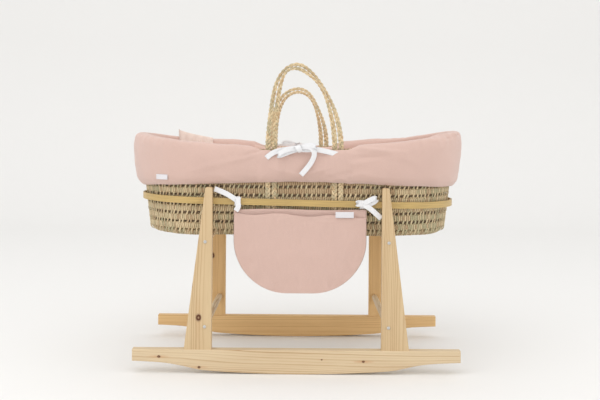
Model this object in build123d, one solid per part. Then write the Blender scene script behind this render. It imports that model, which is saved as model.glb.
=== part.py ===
"""A Moses basket on its rocking stand, in millimetres.

X runs along the basket with the head end at +X, Y runs across it with the front at -Y, and Z is up
from the floor. The origin is on the floor under the middle of the stand. The hoop, the basket, the
liner and the bedding all follow one oval: two straight sides joined by half circles.
"""
from build123d import *
import os
from math import atan, cos, degrees, radians, sin, sqrt

os.makedirs("parts", exist_ok=True)

# ---- stand ----
rocker_length = 790.0
rocker_thickness = 24.0
rocker_height = 58.0        # at the middle of its length
rocker_radius = 3000.0      # of the long arc that rolls on the floor
toe_flat = 50.0             # nearly level run at each end of a rocker
toe_radius = 430.0
toe_slope = 2.6             # degrees
ramp_slope = 14.3           # degrees, where the rolling arc turns up towards the toe
shoulder_radius = 270.0
leg_thickness = 20.0
leg_height = 390.0          # from the rocker's flat top
leg_top_width = 17.0
leg_foot_width = 66.5
leg_setin = 19.5            # from the end of the oval's straight side in to a leg's inner edge
crossbar_diameter = 16.0
upper_crossbar_drop = 131.0  # from a leg's top down to the bar's middle
lower_crossbar_rise = 55.0   # from a leg's foot up to the bar's middle
arris = 2.0                 # rounding of the pine's long edges

# ---- hoop ----
oval_straight = 448.0       # length of the straight sides that every oval piece shares
stand_gap = 360.0           # between the inner faces of the front and rear legs
hoop_drop = 38.0            # from a leg's top down to the band's middle
hoop_width = 15.7
hoop_thickness = 5.0
hoop_tilt = 1.0             # degrees, foot end up

# ---- fasteners ----
bolt_diameter = 4.0
bolt_head_diameter = 8.0
bolt_head_height = 2.4
bolt_bite = 22.0            # into the end of a crossbar
bolt_inset = 16.5           # from a leg's inner edge
hex_across = 3.0
hex_depth = 1.5
dowel_diameter = 8.0
dowel_length = 30.0
dowel_spacing = 34.0
dowel_clearance = 0.1
screw_diameter = 3.5
screw_head_diameter = 7.0
screw_head_height = 2.0
screw_bite = 14.0
bolt_clearance = 0.05

# ---- basket ----
wall_thickness = 12.0
wall_lean = 0.119           # outward run for each millimetre of rise
base_thickness = 12.0
base_edge_radius = 28.0
rim_height = 214.0          # above the underside of the basket, at the middle of a side
foot_rise = 35.0            # of the rim at the foot end, above its height at mid-side
head_rise = 45.0
rim_depth = 16.0
band_width = 29.0
band_thickness = 5.0
front_band_spread = 162.0   # between the middles of the front handle's two bands
rear_band_spread = 146.0
front_band_middle = 16.5    # X of a handle's middle
rear_band_middle = 0.0
basket_clearance = 1.6      # from the handle bands to the hoop
seat_clearance = 0.3        # between bodies that rest on each other
joint_clearance = 0.3       # between a handle and the bands that it folds on

# ---- handles, as heights and offsets from the middle of the hinge line ----
front_handle_height = 204.0
front_handle_top = -23.5    # X of the peak from the handle's middle
rear_handle_height = 166.0
rear_handle_top = -2.0
handle_top_width = 19.0
foot_flat = 0.1             # left on the sole of a handle between its two roundings
hinge_lift = 8.0            # hinge line above the rim at mid-side

# ---- liner and bedding ----
lining_thickness = 6.0
lining_clearance = 0.4
skirt_bottom = 131.7        # above the underside of the basket
skirt_edge_padding = 8.0
skirt_padding = 15.0
skirt_crown = 9.0           # above the rim
slot_margin = 4.0           # from a handle band to the end of its slot
slot_drop = 11.0            # of the slot's floor below the rim
mattress_thickness = 40.0
mattress_clearance = 5.0
coverlet_thickness = 12.0
coverlet_setin = 8.0
corner_length = 92.0        # of the coverlet's turned-up corner
corner_place = -286.0       # X of its middle
corner_height = 207.0       # above the mattress
corner_clearance = 1.0      # from the lining
tie_thickness = 1.6
tie_width = 14.0
bow_place = -6.0            # X of a liner tie's knot from its slot's middle
bow_rise = 4.0              # of the knot above the slot's floor
bow_knot = (24.0, 8.0, 10.0)
bow_loop_left = 26.0        # length of each loop
bow_loop_right = 22.0
bow_tail = 48.0
bow_tail_lean = 12.0        # degrees
knot_depth = 6.0
knot_height = 12.0

# ---- pocket ----
pocket_width = 322.0
pocket_depth = 204.0
pocket_corner = 130.0       # radius of its lower corners
pocket_middle = 7.0         # X
pocket_panel = 3.0
pocket_pouch = 12.0         # gap between the panels at the mouth
pocket_sag = 6.0            # of the front panel's hem below the back panel's
pocket_seam = 26.0          # flat border outside the pouch
pocket_gap = 4.2            # below the hoop, at the line that it swings about
tie_inset = 9.0             # of each tie from the pocket's end
pocket_loop = 30.0          # length of a pocket tie's loop
pocket_loop_lift = 35.0     # degrees
pocket_tail = 24.0
pocket_tail_width = 8.0

# ---- what follows from those ----
leg_top = rocker_height + leg_height
hoop_height = leg_top - hoop_drop
upper_crossbar_height = leg_top - upper_crossbar_drop
lower_crossbar_height = rocker_height + lower_crossbar_rise
hoop_outer = stand_gap / 2
hoop_inner = hoop_outer - hoop_thickness
leg_middle = stand_gap / 2 + leg_thickness / 2
leg_inner = oval_straight / 2 - leg_setin
bolt_x = leg_inner + bolt_inset
basket_base = upper_crossbar_height + crossbar_diameter / 2 + seat_clearance
rim_middle = basket_base + rim_height
hinge_height = rim_middle + hinge_lift
FRONT, REAR = -1, 1
LEFT, RIGHT = -1, 1


def wall_radius(height):
    """Outer radius of the woven wall at a height above the floor."""
    return hoop_inner - basket_clearance - band_thickness + wall_lean * (height - hoop_height)


def inner_radius(height):
    return wall_radius(height) - wall_thickness


def leg_width(height):
    """Width of a leg at a height above the floor."""
    share = (height - rocker_height) / leg_height
    return leg_foot_width + share * (leg_top_width - leg_foot_width)


def save(shape, name):
    """Write one sub-part, with its name, in place."""
    shape.label = name
    export_step(shape, f"parts/{name}.step")


def rounded(solid, radius):
    """The solid with its edges along Y eased, and those of its two flat faces."""
    front, rear = solid.faces().sort_by(Axis.Y)[0], solid.faces().sort_by(Axis.Y)[-1]
    return fillet(front.edges() + rear.edges(), radius)


def along_y(face, thickness, middle):
    """A face drawn in X and Z, as a board of that thickness about Y = middle."""
    return Pos(0, middle, 0) * extrude(Plane.XZ * face, thickness / 2, both=True)


def rod(radius, start, end):
    """A round bar from start to end."""
    path = Vector(*end) - Vector(*start)
    return extrude(Plane(origin=start, z_dir=path) * Circle(radius), path.length)


def oval(section):
    """A section drawn as (radius, height), carried round the oval that the hoop and basket share."""
    half = oval_straight / 2
    side = extrude(Plane.YZ * section, half, both=True)
    end = revolve(Plane.YZ.offset(half) * section, Axis((half, 0, 0), (0, 0, -1)), 180)
    return side + mirror(side, Plane.XZ) + end + mirror(end, Plane.YZ)


def oval_plate(radius, bottom, thickness):
    """A flat plate with the oval's outline."""
    outline = SlotCenterToCenter(oval_straight, 2 * radius)
    return Pos(0, 0, bottom) * extrude(outline, thickness)


def ring_section(radius_at, inner, outer, bottom, top):
    """A band of the basket's lean, between two offsets from a radius function."""
    return make_face(Polyline(
        (radius_at(bottom) + inner, bottom), (radius_at(bottom) + outer, bottom),
        (radius_at(top) + outer, top), (radius_at(top) + inner, top), close=True))


def below_rim(offset):
    """Everything under the rim's curve, raised by an offset: it rises towards both ends."""
    height = rim_middle + offset
    reach = oval_straight / 2 + wall_radius(rim_middle)
    far = reach + 60
    arcs = []
    for side, rise in ((LEFT, foot_rise), (RIGHT, head_rise)):
        radius = (reach ** 2 + rise ** 2) / (2 * rise)
        points = [(side * x, height + radius - sqrt(radius ** 2 - x ** 2)) for x in (0, far / 2, far)]
        arcs.append(ThreePointArc(*points))
    bottom = basket_base - 50
    left, right = arcs[0] @ 1, arcs[1] @ 1
    outline = arcs[0] + arcs[1] + Polyline(
        (right.X, right.Y), (far, bottom), (-far, bottom), (left.X, left.Y))
    return along_y(make_face(outline), 600, 0)


# ---- stand ----
def rocker_profile():
    """Half of a rocker's underside, then the whole board: a long rolling arc, a ramp and a toe."""
    shoulder, toe = radians(ramp_slope), radians(toe_slope)
    toe_run = toe_radius * (sin(shoulder) - sin(toe))
    left_over = rocker_length / 2 - toe_flat - toe_run - shoulder_radius * sin(shoulder)
    arc_run = left_over / (1 - shoulder_radius / rocker_radius)
    roll = degrees(atan(arc_run / sqrt(rocker_radius ** 2 - arc_run ** 2)))
    rolling = JernArc((0, 0), (1, 0), rocker_radius, roll)
    ramp = JernArc(rolling @ 1, rolling % 1, shoulder_radius, ramp_slope - roll)
    lift = JernArc(ramp @ 1, ramp % 1, toe_radius, toe_slope - ramp_slope)
    end = lift @ 1 + (lift % 1) * (toe_flat / cos(toe))
    close = Polyline(lift @ 1, (end.X, end.Y), (end.X, rocker_height), (0, rocker_height), (0, 0))
    half = make_face(rolling + ramp + lift + close)
    return half + mirror(half, Plane.YZ)


def dowel_places():
    """X of the two dowels in one leg's foot, measured from the middle of the stand."""
    middle = leg_inner + leg_foot_width / 2
    return [middle - dowel_spacing / 2, middle + dowel_spacing / 2]


def rocker(side):
    board = rounded(along_y(rocker_profile(), rocker_thickness, side * leg_middle), arris)
    for end in (LEFT, RIGHT):
        for x in dowel_places():
            hole = (end * x, side * leg_middle, rocker_height - dowel_length / 2 - dowel_clearance)
            board -= rod(dowel_diameter / 2 + dowel_clearance, hole, (hole[0], hole[1], rocker_height))
    return board


def leg(side, end):
    outline = Polyline(
        (leg_inner, rocker_height), (leg_inner + leg_foot_width, rocker_height),
        (leg_inner + leg_top_width, leg_top), (leg_inner, leg_top), close=True)
    board = along_y(make_face(outline), leg_thickness, side * leg_middle)
    board = fillet(board.edges().filter_by(Axis.Y).group_by(Axis.Z)[-1], 2.5 * arris)
    faces = board.faces().sort_by(Axis.Y)
    board = fillet([e for f in (faces[0], faces[-1]) for e in f.edges()
                    if e.center().Z > rocker_height + 1], arris)
    for height in (upper_crossbar_height, lower_crossbar_height):
        board -= rod(bolt_diameter / 2 + bolt_clearance,
                     (bolt_x, side * leg_middle - leg_thickness, height),
                     (bolt_x, side * leg_middle + leg_thickness, height))
    for x in dowel_places():
        board -= rod(dowel_diameter / 2 + dowel_clearance, (x, side * leg_middle, rocker_height),
                     (x, side * leg_middle, rocker_height + dowel_length / 2 + dowel_clearance))
    if end == LEFT:
        board = mirror(board, Plane.YZ)
    x, height = hoop_screw_place(end)
    inner_face = side * stand_gap / 2
    return board - rod(screw_diameter / 2 + bolt_clearance, (x, inner_face, height),
                       (x, inner_face + side * (screw_bite + dowel_clearance), height))


def crossbar(end, height):
    """A round bar between the front and rear legs, bored at both ends for its bolts."""
    x, reach = end * bolt_x, stand_gap / 2
    bar = rod(crossbar_diameter / 2, (x, -reach, height), (x, reach, height))
    for side in (FRONT, REAR):
        bar -= rod(bolt_diameter / 2 + bolt_clearance,
                   (x, side * (reach - bolt_bite - dowel_clearance), height), (x, side * reach, height))
    return bar


def bolt(side, end, height):
    """A button-head bolt with a hexagon socket, from a leg's outer face into a crossbar."""
    face = leg_middle + leg_thickness / 2
    head = extrude(Circle(bolt_head_diameter / 2), bolt_head_height)
    head = fillet(head.edges().group_by(Axis.Z)[-1], bolt_head_height * 0.55)
    socket = extrude(RegularPolygon(hex_across / 2, 6, major_radius=False), hex_depth)
    head -= Pos(0, 0, bolt_head_height - hex_depth) * socket
    shank = Pos(0, 0, -leg_thickness - bolt_bite) * extrude(
        Circle(bolt_diameter / 2), leg_thickness + bolt_bite)
    return Plane(origin=(end * bolt_x, side * face, height), z_dir=(0, side, 0)) * (head + shank)


def leg_dowels():
    pins = []
    for side in (FRONT, REAR):
        for end in (LEFT, RIGHT):
            for x in dowel_places():
                pins.append(rod(dowel_diameter / 2, (end * x, side * leg_middle, rocker_height - dowel_length / 2),
                                (end * x, side * leg_middle, rocker_height + dowel_length / 2)))
    return Compound(pins)


def tilted(shape):
    """The shape turned with the hoop, about the hoop's middle."""
    return shape.rotate(Axis((0, 0, hoop_height), (0, 1, 0)), hoop_tilt)


def hoop_screw_place(end):
    """X and height of a hoop screw, in the middle of a leg where the hoop crosses it."""
    reach = leg_inner + leg_width(hoop_height) / 2
    turn = radians(hoop_tilt)
    return end * reach * cos(turn), hoop_height - end * reach * sin(turn)


def screw_cone(side, end, radius_gap):
    """The countersunk head of a hoop screw, flush with the hoop's inner face."""
    x, height = hoop_screw_place(end)
    head = Plane(origin=(x, side * hoop_inner, height), z_dir=(0, side, 0)) * Cone(
        screw_head_diameter / 2 + radius_gap, screw_diameter / 2 + radius_gap, screw_head_height,
        align=(Align.CENTER, Align.CENTER, Align.MIN))
    return head


def hoop_screw(side, end):
    x, height = hoop_screw_place(end)
    shank = rod(screw_diameter / 2, (x, side * hoop_inner, height),
                (x, side * (hoop_outer + screw_bite), height))
    return screw_cone(side, end, 0) + shank


def support_hoop():
    half = hoop_width / 2
    band = make_face(Polyline(
        (hoop_inner, hoop_height - half), (hoop_outer, hoop_height - half),
        (hoop_outer, hoop_height + half), (hoop_inner, hoop_height + half), close=True))
    hoop = tilted(oval(band))
    for side in (FRONT, REAR):
        for end in (LEFT, RIGHT):
            x, height = hoop_screw_place(end)
            hoop -= screw_cone(side, end, bolt_clearance) + rod(
                screw_diameter / 2 + bolt_clearance, (x, side * hoop_inner, height),
                (x, side * hoop_outer, height))
    return hoop


def build_stand():
    for side, across in ((FRONT, "front"), (REAR, "rear")):
        save(rocker(side), f"{across}_rocker")
        for end, along in ((LEFT, "left"), (RIGHT, "right")):
            save(leg(side, end), f"{across}_{along}_leg")
    corners = [(side, end) for side in (FRONT, REAR) for end in (LEFT, RIGHT)]
    for level, height in (("upper", upper_crossbar_height), ("lower", lower_crossbar_height)):
        for end, along in ((LEFT, "left"), (RIGHT, "right")):
            save(crossbar(end, height), f"{along}_{level}_crossbar")
        save(Compound([bolt(side, end, height) for side, end in corners]), f"{level}_crossbar_bolts")
    save(leg_dowels(), "leg_dowels")
    save(support_hoop(), "support_hoop")
    save(Compound([hoop_screw(side, end) for side, end in corners]), "hoop_screws")


# ---- basket ----
tall = rim_middle + head_rise + 60    # above everything that the rim's curve cuts


def basket_wall():
    """The woven wall, from the base's edge round the bottom corner and up to the rim."""
    foot = wall_radius(basket_base)
    corner = base_edge_radius
    outer = [(foot - corner, basket_base), (foot - 0.29 * corner, basket_base + 0.29 * corner),
             (wall_radius(basket_base + corner), basket_base + corner)]
    section = make_face(
        ThreePointArc(*outer)
        + Polyline(outer[2], (wall_radius(tall), tall), (inner_radius(tall), tall),
                   (inner_radius(basket_base + corner), basket_base + corner))
        + ThreePointArc((inner_radius(basket_base + corner), basket_base + corner),
                        (foot - corner + 0.5 * (corner - wall_thickness),
                         basket_base + base_thickness + 0.22 * (corner - wall_thickness)),
                        (foot - corner, basket_base + base_thickness))
        + Line((foot - corner, basket_base + base_thickness), (foot - corner, basket_base)))
    return oval(section) & below_rim(-rim_depth)


def basket_floor():
    return oval_plate(wall_radius(basket_base) - base_edge_radius, basket_base, base_thickness)


def basket_rim():
    """The plaited border that finishes the top of the wall."""
    section = ring_section(wall_radius, -wall_thickness, 0, rim_middle - rim_depth - 20, tall)
    return (oval(section) & below_rim(0)) - below_rim(-rim_depth)


def handle_places(side):
    middle = front_band_middle if side == FRONT else rear_band_middle
    spread = front_band_spread if side == FRONT else rear_band_spread
    return middle - spread / 2, middle + spread / 2


def hinge_radius():
    return wall_radius(rim_middle) + band_thickness / 2


def handle_band(side, x):
    """One plaited band, sewn to the outside of the wall, up to just under the handle's hinge line."""
    bottom = basket_base + base_edge_radius
    top = hinge_height - band_thickness / 2 - joint_clearance
    lean = wall_radius(rim_middle) - wall_radius(top)
    section = make_face(Polyline(
        (wall_radius(bottom), bottom), (wall_radius(bottom) + band_thickness, bottom),
        (hinge_radius() + band_thickness / 2, rim_middle), (hinge_radius() + band_thickness / 2 - lean, top),
        (wall_radius(top), top), close=True))
    band = Pos(x, 0, 0) * extrude(Plane.YZ * section, band_width / 2, both=True)
    return mirror(band, Plane.XZ) if side == FRONT else band


def handle(side):
    """The free arch of a handle: a flat strap that narrows to its peak, round at both hinge ends."""
    left, right = handle_places(side)
    middle = (left + right) / 2
    height = front_handle_height if side == FRONT else rear_handle_height
    peak = middle + (front_handle_top if side == FRONT else rear_handle_top)
    half = band_width / 2
    top = hinge_height + height

    def arch(shrink, drop):
        return Spline(
            (left - shrink, hinge_height), (peak, top - drop), (right + shrink, hinge_height),
            tangents=[(0, 1), (1, 0), (0, -1)], tangent_scalars=[1.1, 1.0, 1.1])

    outer, inner = arch(half, 0), arch(-half, handle_top_width)
    foot = hinge_height - band_thickness / 2
    outline = outer + inner
    for x in (left, right):
        outline += Polyline((x - half, hinge_height), (x - half, foot), (x + half, foot), (x + half, hinge_height))
    strap = along_y(make_face(outline), band_thickness, side * hinge_radius())
    soles = strap.edges().filter_by(Axis.X).group_by(Axis.Z)[0]
    return fillet(soles, band_thickness / 2 - foot_flat)


def slot_box(side, drop):
    """The opening in the liner that a handle comes up through."""
    left, right = handle_places(side)
    reach = band_width / 2 + slot_margin
    inner = inner_radius(rim_middle) - lining_thickness - 4
    width = right - left + 2 * reach
    return Pos((left + right) / 2, side * (inner + 40), rim_middle - drop + 50) * Box(width, 80, 100)


def liner_skirt():
    """The padded skirt outside the wall, with the fold that carries it over the rim."""
    bottom = basket_base + skirt_bottom
    gap = band_thickness + lining_clearance
    inside = inner_radius(tall) - lining_thickness - lining_clearance
    low, high = wall_radius(bottom) + gap, wall_radius(rim_middle) + gap
    level = (bottom + rim_middle) / 2
    section = make_face(
        Polyline((low, bottom), (low + skirt_edge_padding, bottom))
        + ThreePointArc((low + skirt_edge_padding, bottom),
                        (wall_radius(level) + gap + skirt_padding, level),
                        (high + skirt_padding, rim_middle))
        + Polyline((high + skirt_padding, rim_middle), (high + skirt_padding - 4, tall),
                   (inside, tall), (inside, bottom + 30), (low, bottom + 30), (low, bottom)))
    core_section = make_face(Polyline(
        (inside - 60, bottom - 20), (wall_radius(bottom - 20) + gap, bottom - 20),
        (wall_radius(tall) + gap, tall), (inside - 60, tall), close=True))
    inner_edge = make_face(Polyline(
        (inside - 80, bottom - 20), (inner_radius(bottom - 20) - lining_thickness, bottom - 20),
        (inner_radius(tall) - lining_thickness, tall), (inside - 80, tall), close=True))
    skirt = oval(section) & below_rim(skirt_crown)
    skirt -= oval(core_section) & below_rim(lining_clearance)
    skirt -= oval(inner_edge)
    return skirt - slot_box(FRONT, slot_drop) - slot_box(REAR, slot_drop)


def basket_lining():
    """The lining inside the wall, from the floor up to the fold over the rim."""
    bottom = basket_base + base_edge_radius
    section = ring_section(inner_radius, -lining_thickness, -lining_clearance, bottom, tall)
    lining = oval(section) & below_rim(0)
    return lining - slot_box(FRONT, lining_clearance) - slot_box(REAR, lining_clearance)


def liner_tie(side):
    """The tape that closes a slot: a knot in front of the rim, two loops and two tails."""
    left, right = handle_places(side)
    skirt_face = wall_radius(rim_middle) + band_thickness + lining_clearance + skirt_padding
    face = skirt_face + 3 * tie_thickness
    half, depth, height = bow_knot[0] / 2, 2 * tie_thickness, bow_knot[2]
    overlap = 7.0
    loops = (Pos(overlap - half - bow_loop_left / 2, 0, 1) * Box(bow_loop_left, depth, 0.6 * height)
             + Pos(half - overlap + bow_loop_right / 2, 0, 2) * Box(bow_loop_right, depth, 0.8 * height))
    tail = (Pos(half, -0.5, -bow_tail / 2 - 2) * Rot(0, bow_tail_lean, 0)
            * Box(tie_width, tie_thickness, bow_tail))
    bow = Box(*bow_knot) + loops + tail
    if side == REAR:
        bow = mirror(bow, Plane.XZ)
    return Pos((left + right) / 2 + bow_place, side * face, rim_middle - slot_drop + bow_rise) * bow


def tag_at(width, height, place, turn):
    """A blank woven label, turned about Z to lie against what it is sewn to."""
    return Pos(*place) * Rot(0, 0, turn) * Box(width, 0.8, height)


def liner_tag():
    turn = 33.0
    radius = wall_radius(basket_base + 145) + band_thickness + lining_clearance + skirt_padding + 1.2
    place = (-oval_straight / 2 - radius * sin(radians(turn)), -radius * cos(radians(turn)), basket_base + 145)
    return tag_at(36, 13, place, -turn)


def mattress_radius():
    return inner_radius(basket_base + base_edge_radius) - lining_thickness - mattress_clearance


def mattress():
    bottom = basket_base + base_thickness + seat_clearance
    pad = oval_plate(mattress_radius(), bottom, mattress_thickness)
    top = pad.faces().sort_by(Axis.Z)[-1].edges()
    return chamfer(top + pad.faces().sort_by(Axis.Z)[0].edges(), 12)


def coverlet():
    """The quilt on the mattress, with one rear corner turned up against the lining."""
    bottom = basket_base + base_thickness + 2 * seat_clearance + mattress_thickness
    edge = mattress_radius() - coverlet_setin
    fold, top = bottom + coverlet_thickness, bottom + corner_height
    outside = lining_thickness + corner_clearance
    section = make_face(Polyline(
        (edge - coverlet_thickness, bottom), (inner_radius(bottom) - outside, bottom),
        (inner_radius(top) - outside, top), (inner_radius(top) - outside - coverlet_thickness, top),
        (inner_radius(fold) - outside - coverlet_thickness, fold), (edge - coverlet_thickness, fold),
        close=True))
    window = Pos(corner_place, stand_gap / 2, bottom) * Box(corner_length, stand_gap, 3 * corner_height)
    return oval_plate(edge, bottom, coverlet_thickness) + (oval(section) & window)


def build_basket():
    save(basket_wall(), "basket_wall")
    save(basket_floor(), "basket_floor")
    save(basket_rim(), "basket_rim")
    for side, across in ((FRONT, "front"), (REAR, "rear")):
        for x, along in zip(handle_places(side), ("left", "right")):
            save(handle_band(side, x), f"{across}_{along}_handle_band")
        save(handle(side), f"{across}_handle")
        save(liner_tie(side), f"{across}_liner_tie")
    save(liner_skirt(), "liner_skirt")
    save(basket_lining(), "basket_lining")
    save(liner_tag(), "liner_tag")
    save(mattress(), "mattress")
    save(coverlet(), "coverlet")


# ---- pocket ----
def half_moon(inset, top_drop):
    """The pocket's outline, drawn in X and Z from the middle of its top edge."""
    half, depth, corner = pocket_width / 2 - inset, pocket_depth - inset, pocket_corner - inset
    outline = RectangleRounded(2 * half, 2 * depth, corner)
    return outline & Pos(0, -(depth + top_drop) / 2) * Rectangle(2 * half + 2, depth - top_drop)


def pocket_top():
    """Height of the line that the pocket swings about, just under the hoop."""
    return hoop_height - hoop_width / 2 - pocket_gap - (pocket_width / 2) * sin(radians(hoop_tilt))


def pocket_place():
    return Pos(pocket_middle, -(hoop_inner + hoop_outer) / 2, pocket_top())


def pocket_back_panel():
    return pocket_place() * along_y(half_moon(0, 0), pocket_panel, 0)


def pocket_front_panel():
    """A shallow pouch that stands off the back panel and is open along the top."""
    back = -pocket_panel / 2
    border = along_y(half_moon(0, pocket_sag), pocket_panel, back - pocket_panel / 2)
    pouch = along_y(half_moon(pocket_seam, pocket_sag), pocket_pouch + pocket_panel,
                    back - (pocket_pouch + pocket_panel) / 2)
    hollow = along_y(half_moon(pocket_seam + pocket_panel, -pocket_sag), pocket_pouch,
                     back - pocket_pouch / 2)
    return pocket_place() * (border + pouch - hollow)


def pocket_tag():
    place = (pocket_middle + pocket_width / 2 - 54, -(hoop_inner + hoop_outer) / 2
             - pocket_panel / 2 - pocket_pouch - pocket_panel - 0.4, pocket_top() - pocket_sag - 14)
    return tag_at(44, 15, place, 0)


def pocket_tie(end):
    """A tape knotted round the hoop above one end of the pocket, with a loop and a tail."""
    x = pocket_middle + end * (pocket_width / 2 - tie_inset)
    height = hoop_height - x * sin(radians(hoop_tilt))
    middle = -(hoop_inner + hoop_outer) / 2
    inner = Box(tie_width + 2, hoop_thickness + 0.4, hoop_width + 1.2)
    ring = Box(tie_width, hoop_thickness + 0.4 + 2 * tie_thickness, hoop_width + 1.2 + 2 * tie_thickness) - inner
    front = -hoop_thickness / 2 - 0.2 - tie_thickness
    knot = Pos(0, front - knot_depth / 2, 1) * Box(tie_width + 2, knot_depth, knot_height)
    level = front - knot_depth / 2
    half = tie_width / 2 + 1
    loop = (Pos(end * (half + 10), level, 0.75 * knot_height) * Rot(0, -end * pocket_loop_lift, 0)
            * Box(pocket_loop, 2 * tie_thickness, pocket_tail_width))
    reach = Pos(end * (half + 4), level, 1) * Box(pocket_tail - 4, tie_thickness, 0.75 * pocket_tail_width)
    drop = (Pos(end * (tie_inset + 10), level, 4 - pocket_tail / 2)
            * Box(pocket_tail_width, tie_thickness, pocket_tail))
    return Pos(x, middle, height) * (ring + knot + loop + reach + drop)


def build_pocket():
    save(pocket_back_panel(), "pocket_back_panel")
    save(pocket_front_panel(), "pocket_front_panel")
    save(pocket_tag(), "pocket_tag")
    save(pocket_tie(LEFT), "pocket_left_tie")
    save(pocket_tie(RIGHT), "pocket_right_tie")


build_stand()
build_basket()
build_pocket()
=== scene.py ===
"""Looks for a Moses basket on its rocking stand, built round the fixed CAD frame.

Lengths are metres. X runs along the basket with the head end at +X, the front is at -Y, and Z is up.
"""

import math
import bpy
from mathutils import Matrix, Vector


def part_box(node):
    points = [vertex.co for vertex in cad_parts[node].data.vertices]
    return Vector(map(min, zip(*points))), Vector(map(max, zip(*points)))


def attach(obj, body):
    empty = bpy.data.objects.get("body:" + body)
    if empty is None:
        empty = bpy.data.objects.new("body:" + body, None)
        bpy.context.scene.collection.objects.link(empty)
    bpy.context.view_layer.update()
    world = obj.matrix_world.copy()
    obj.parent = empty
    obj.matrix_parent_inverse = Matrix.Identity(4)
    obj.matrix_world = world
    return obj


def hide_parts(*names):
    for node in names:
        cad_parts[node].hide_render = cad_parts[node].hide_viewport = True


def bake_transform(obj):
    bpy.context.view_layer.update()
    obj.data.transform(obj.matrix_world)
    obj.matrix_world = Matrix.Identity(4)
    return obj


bl_info = {
    "name": "Moses basket on a rocking stand",
    "version": (1, 0, 0),
    "blender": (4, 5, 0),
    "location": "3D View > Sidebar > Moses basket",
    "description": "Weaves the basket, pads the liner and finishes the pine stand around a fixed frame",
    "category": "Add Mesh",
}

import bpy
import numpy as np
from mathutils import Matrix, Vector

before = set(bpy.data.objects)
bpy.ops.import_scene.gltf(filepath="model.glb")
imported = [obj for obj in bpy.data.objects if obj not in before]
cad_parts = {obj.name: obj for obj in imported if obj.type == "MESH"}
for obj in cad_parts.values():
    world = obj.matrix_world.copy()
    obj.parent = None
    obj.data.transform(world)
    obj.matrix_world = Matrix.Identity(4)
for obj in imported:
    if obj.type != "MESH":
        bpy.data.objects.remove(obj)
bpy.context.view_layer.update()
TAU = 2 * math.pi


def span(node):
    """Lowest and highest corner of a CAD node, as arrays."""
    low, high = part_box(node)
    return np.array(low, float), np.array(high, float)


FLOOR_LOW, FLOOR_HIGH = span("basket_floor")
FLOOR_RADIUS = (FLOOR_HIGH[1] - FLOOR_LOW[1]) / 2
OVAL_HALF = (FLOOR_HIGH[0] - FLOOR_LOW[0]) / 2 - FLOOR_RADIUS
BASE = FLOOR_LOW[2]
END_RADIUS = 0.17  # of the half circles that set the spacing round the oval
OVAL_LENGTH = 4 * OVAL_HALF + TAU * END_RADIUS
HOOP_LOW = span("support_hoop")[0]
SKIRT_LOW = span("liner_skirt")[0]


# ---------------------------------------------------------------- sizes and colours
class BasketSizes(bpy.types.PropertyGroup):
    """The woven basket."""
    lean: bpy.props.FloatProperty(
        name="Lean", description="Outward run of the wall for each unit of rise", default=0.119)
    corner: bpy.props.FloatProperty(
        name="Bottom corner", description="Radius of the wall's turn into the floor",
        default=0.028, unit="LENGTH")
    rim: bpy.props.FloatProperty(
        name="Rim height", description="Rim above the underside, at mid-side", default=0.214, unit="LENGTH")
    foot_rise: bpy.props.FloatProperty(
        name="Foot rise", description="Extra height of the rim at the foot end", default=0.035, unit="LENGTH")
    head_rise: bpy.props.FloatProperty(
        name="Head rise", description="Extra height of the rim at the head end", default=0.045, unit="LENGTH")
    row: bpy.props.FloatProperty(
        name="Row pitch", description="From one coil of the wall to the next",
        default=0.0218, unit="LENGTH")
    row_gap: bpy.props.FloatProperty(
        name="Row gap", description="Open slit between two coils", default=0.0046, unit="LENGTH")
    wrap: bpy.props.FloatProperty(
        name="Wrap width", description="Width of one strip wound round a coil", default=0.0054, unit="LENGTH")
    stitch: bpy.props.FloatProperty(
        name="Stitch pitch", description="Between the strips that bind two coils",
        default=0.0118, unit="LENGTH")
    plait_pitch: bpy.props.FloatProperty(
        name="Plait pitch", description="Length of one full turn of a handle's plait",
        default=0.033, unit="LENGTH")


class ClothSizes(bpy.types.PropertyGroup):
    """The liner, the bedding, the pocket and their tapes."""
    skirt_pad: bpy.props.FloatProperty(
        name="Skirt padding", description="Thickness of the skirt at its fullest",
        default=0.0165, unit="LENGTH")
    tape: bpy.props.FloatProperty(
        name="Tape width", description="Width of the cotton tapes", default=0.013, unit="LENGTH")
    liner_tie: bpy.props.FloatProperty(
        name="Liner ties", description="Cut length of the two tapes of a liner bow together",
        default=0.50, unit="LENGTH")
    pocket_tie: bpy.props.FloatProperty(
        name="Pocket tie", description="Cut length of one of the pocket's two ties",
        default=0.20, unit="LENGTH")
    pocket_tape: bpy.props.FloatProperty(
        name="Pocket tape width", description="Width of the pocket's ties", default=0.013, unit="LENGTH")
    skirt_label: bpy.props.FloatProperty(
        name="Skirt label", description="Cut length of the label on the skirt", default=0.036, unit="LENGTH")
    pocket_label: bpy.props.FloatProperty(
        name="Pocket label", description="Cut length of the label on the pocket",
        default=0.044, unit="LENGTH")
    puff: bpy.props.FloatProperty(
        name="Puff", description="Height of the padding's soft unevenness", default=0.0016, unit="LENGTH")
    thread: bpy.props.FloatProperty(
        name="Thread pitch", description="Between two threads of the cotton", default=0.0007, unit="LENGTH")


def colour(name, words, value):
    """A colour property with a linear RGBA default."""
    return bpy.props.FloatVectorProperty(
        name=name, description=words, default=value, size=4, min=0, max=1, subtype="COLOR")


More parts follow.
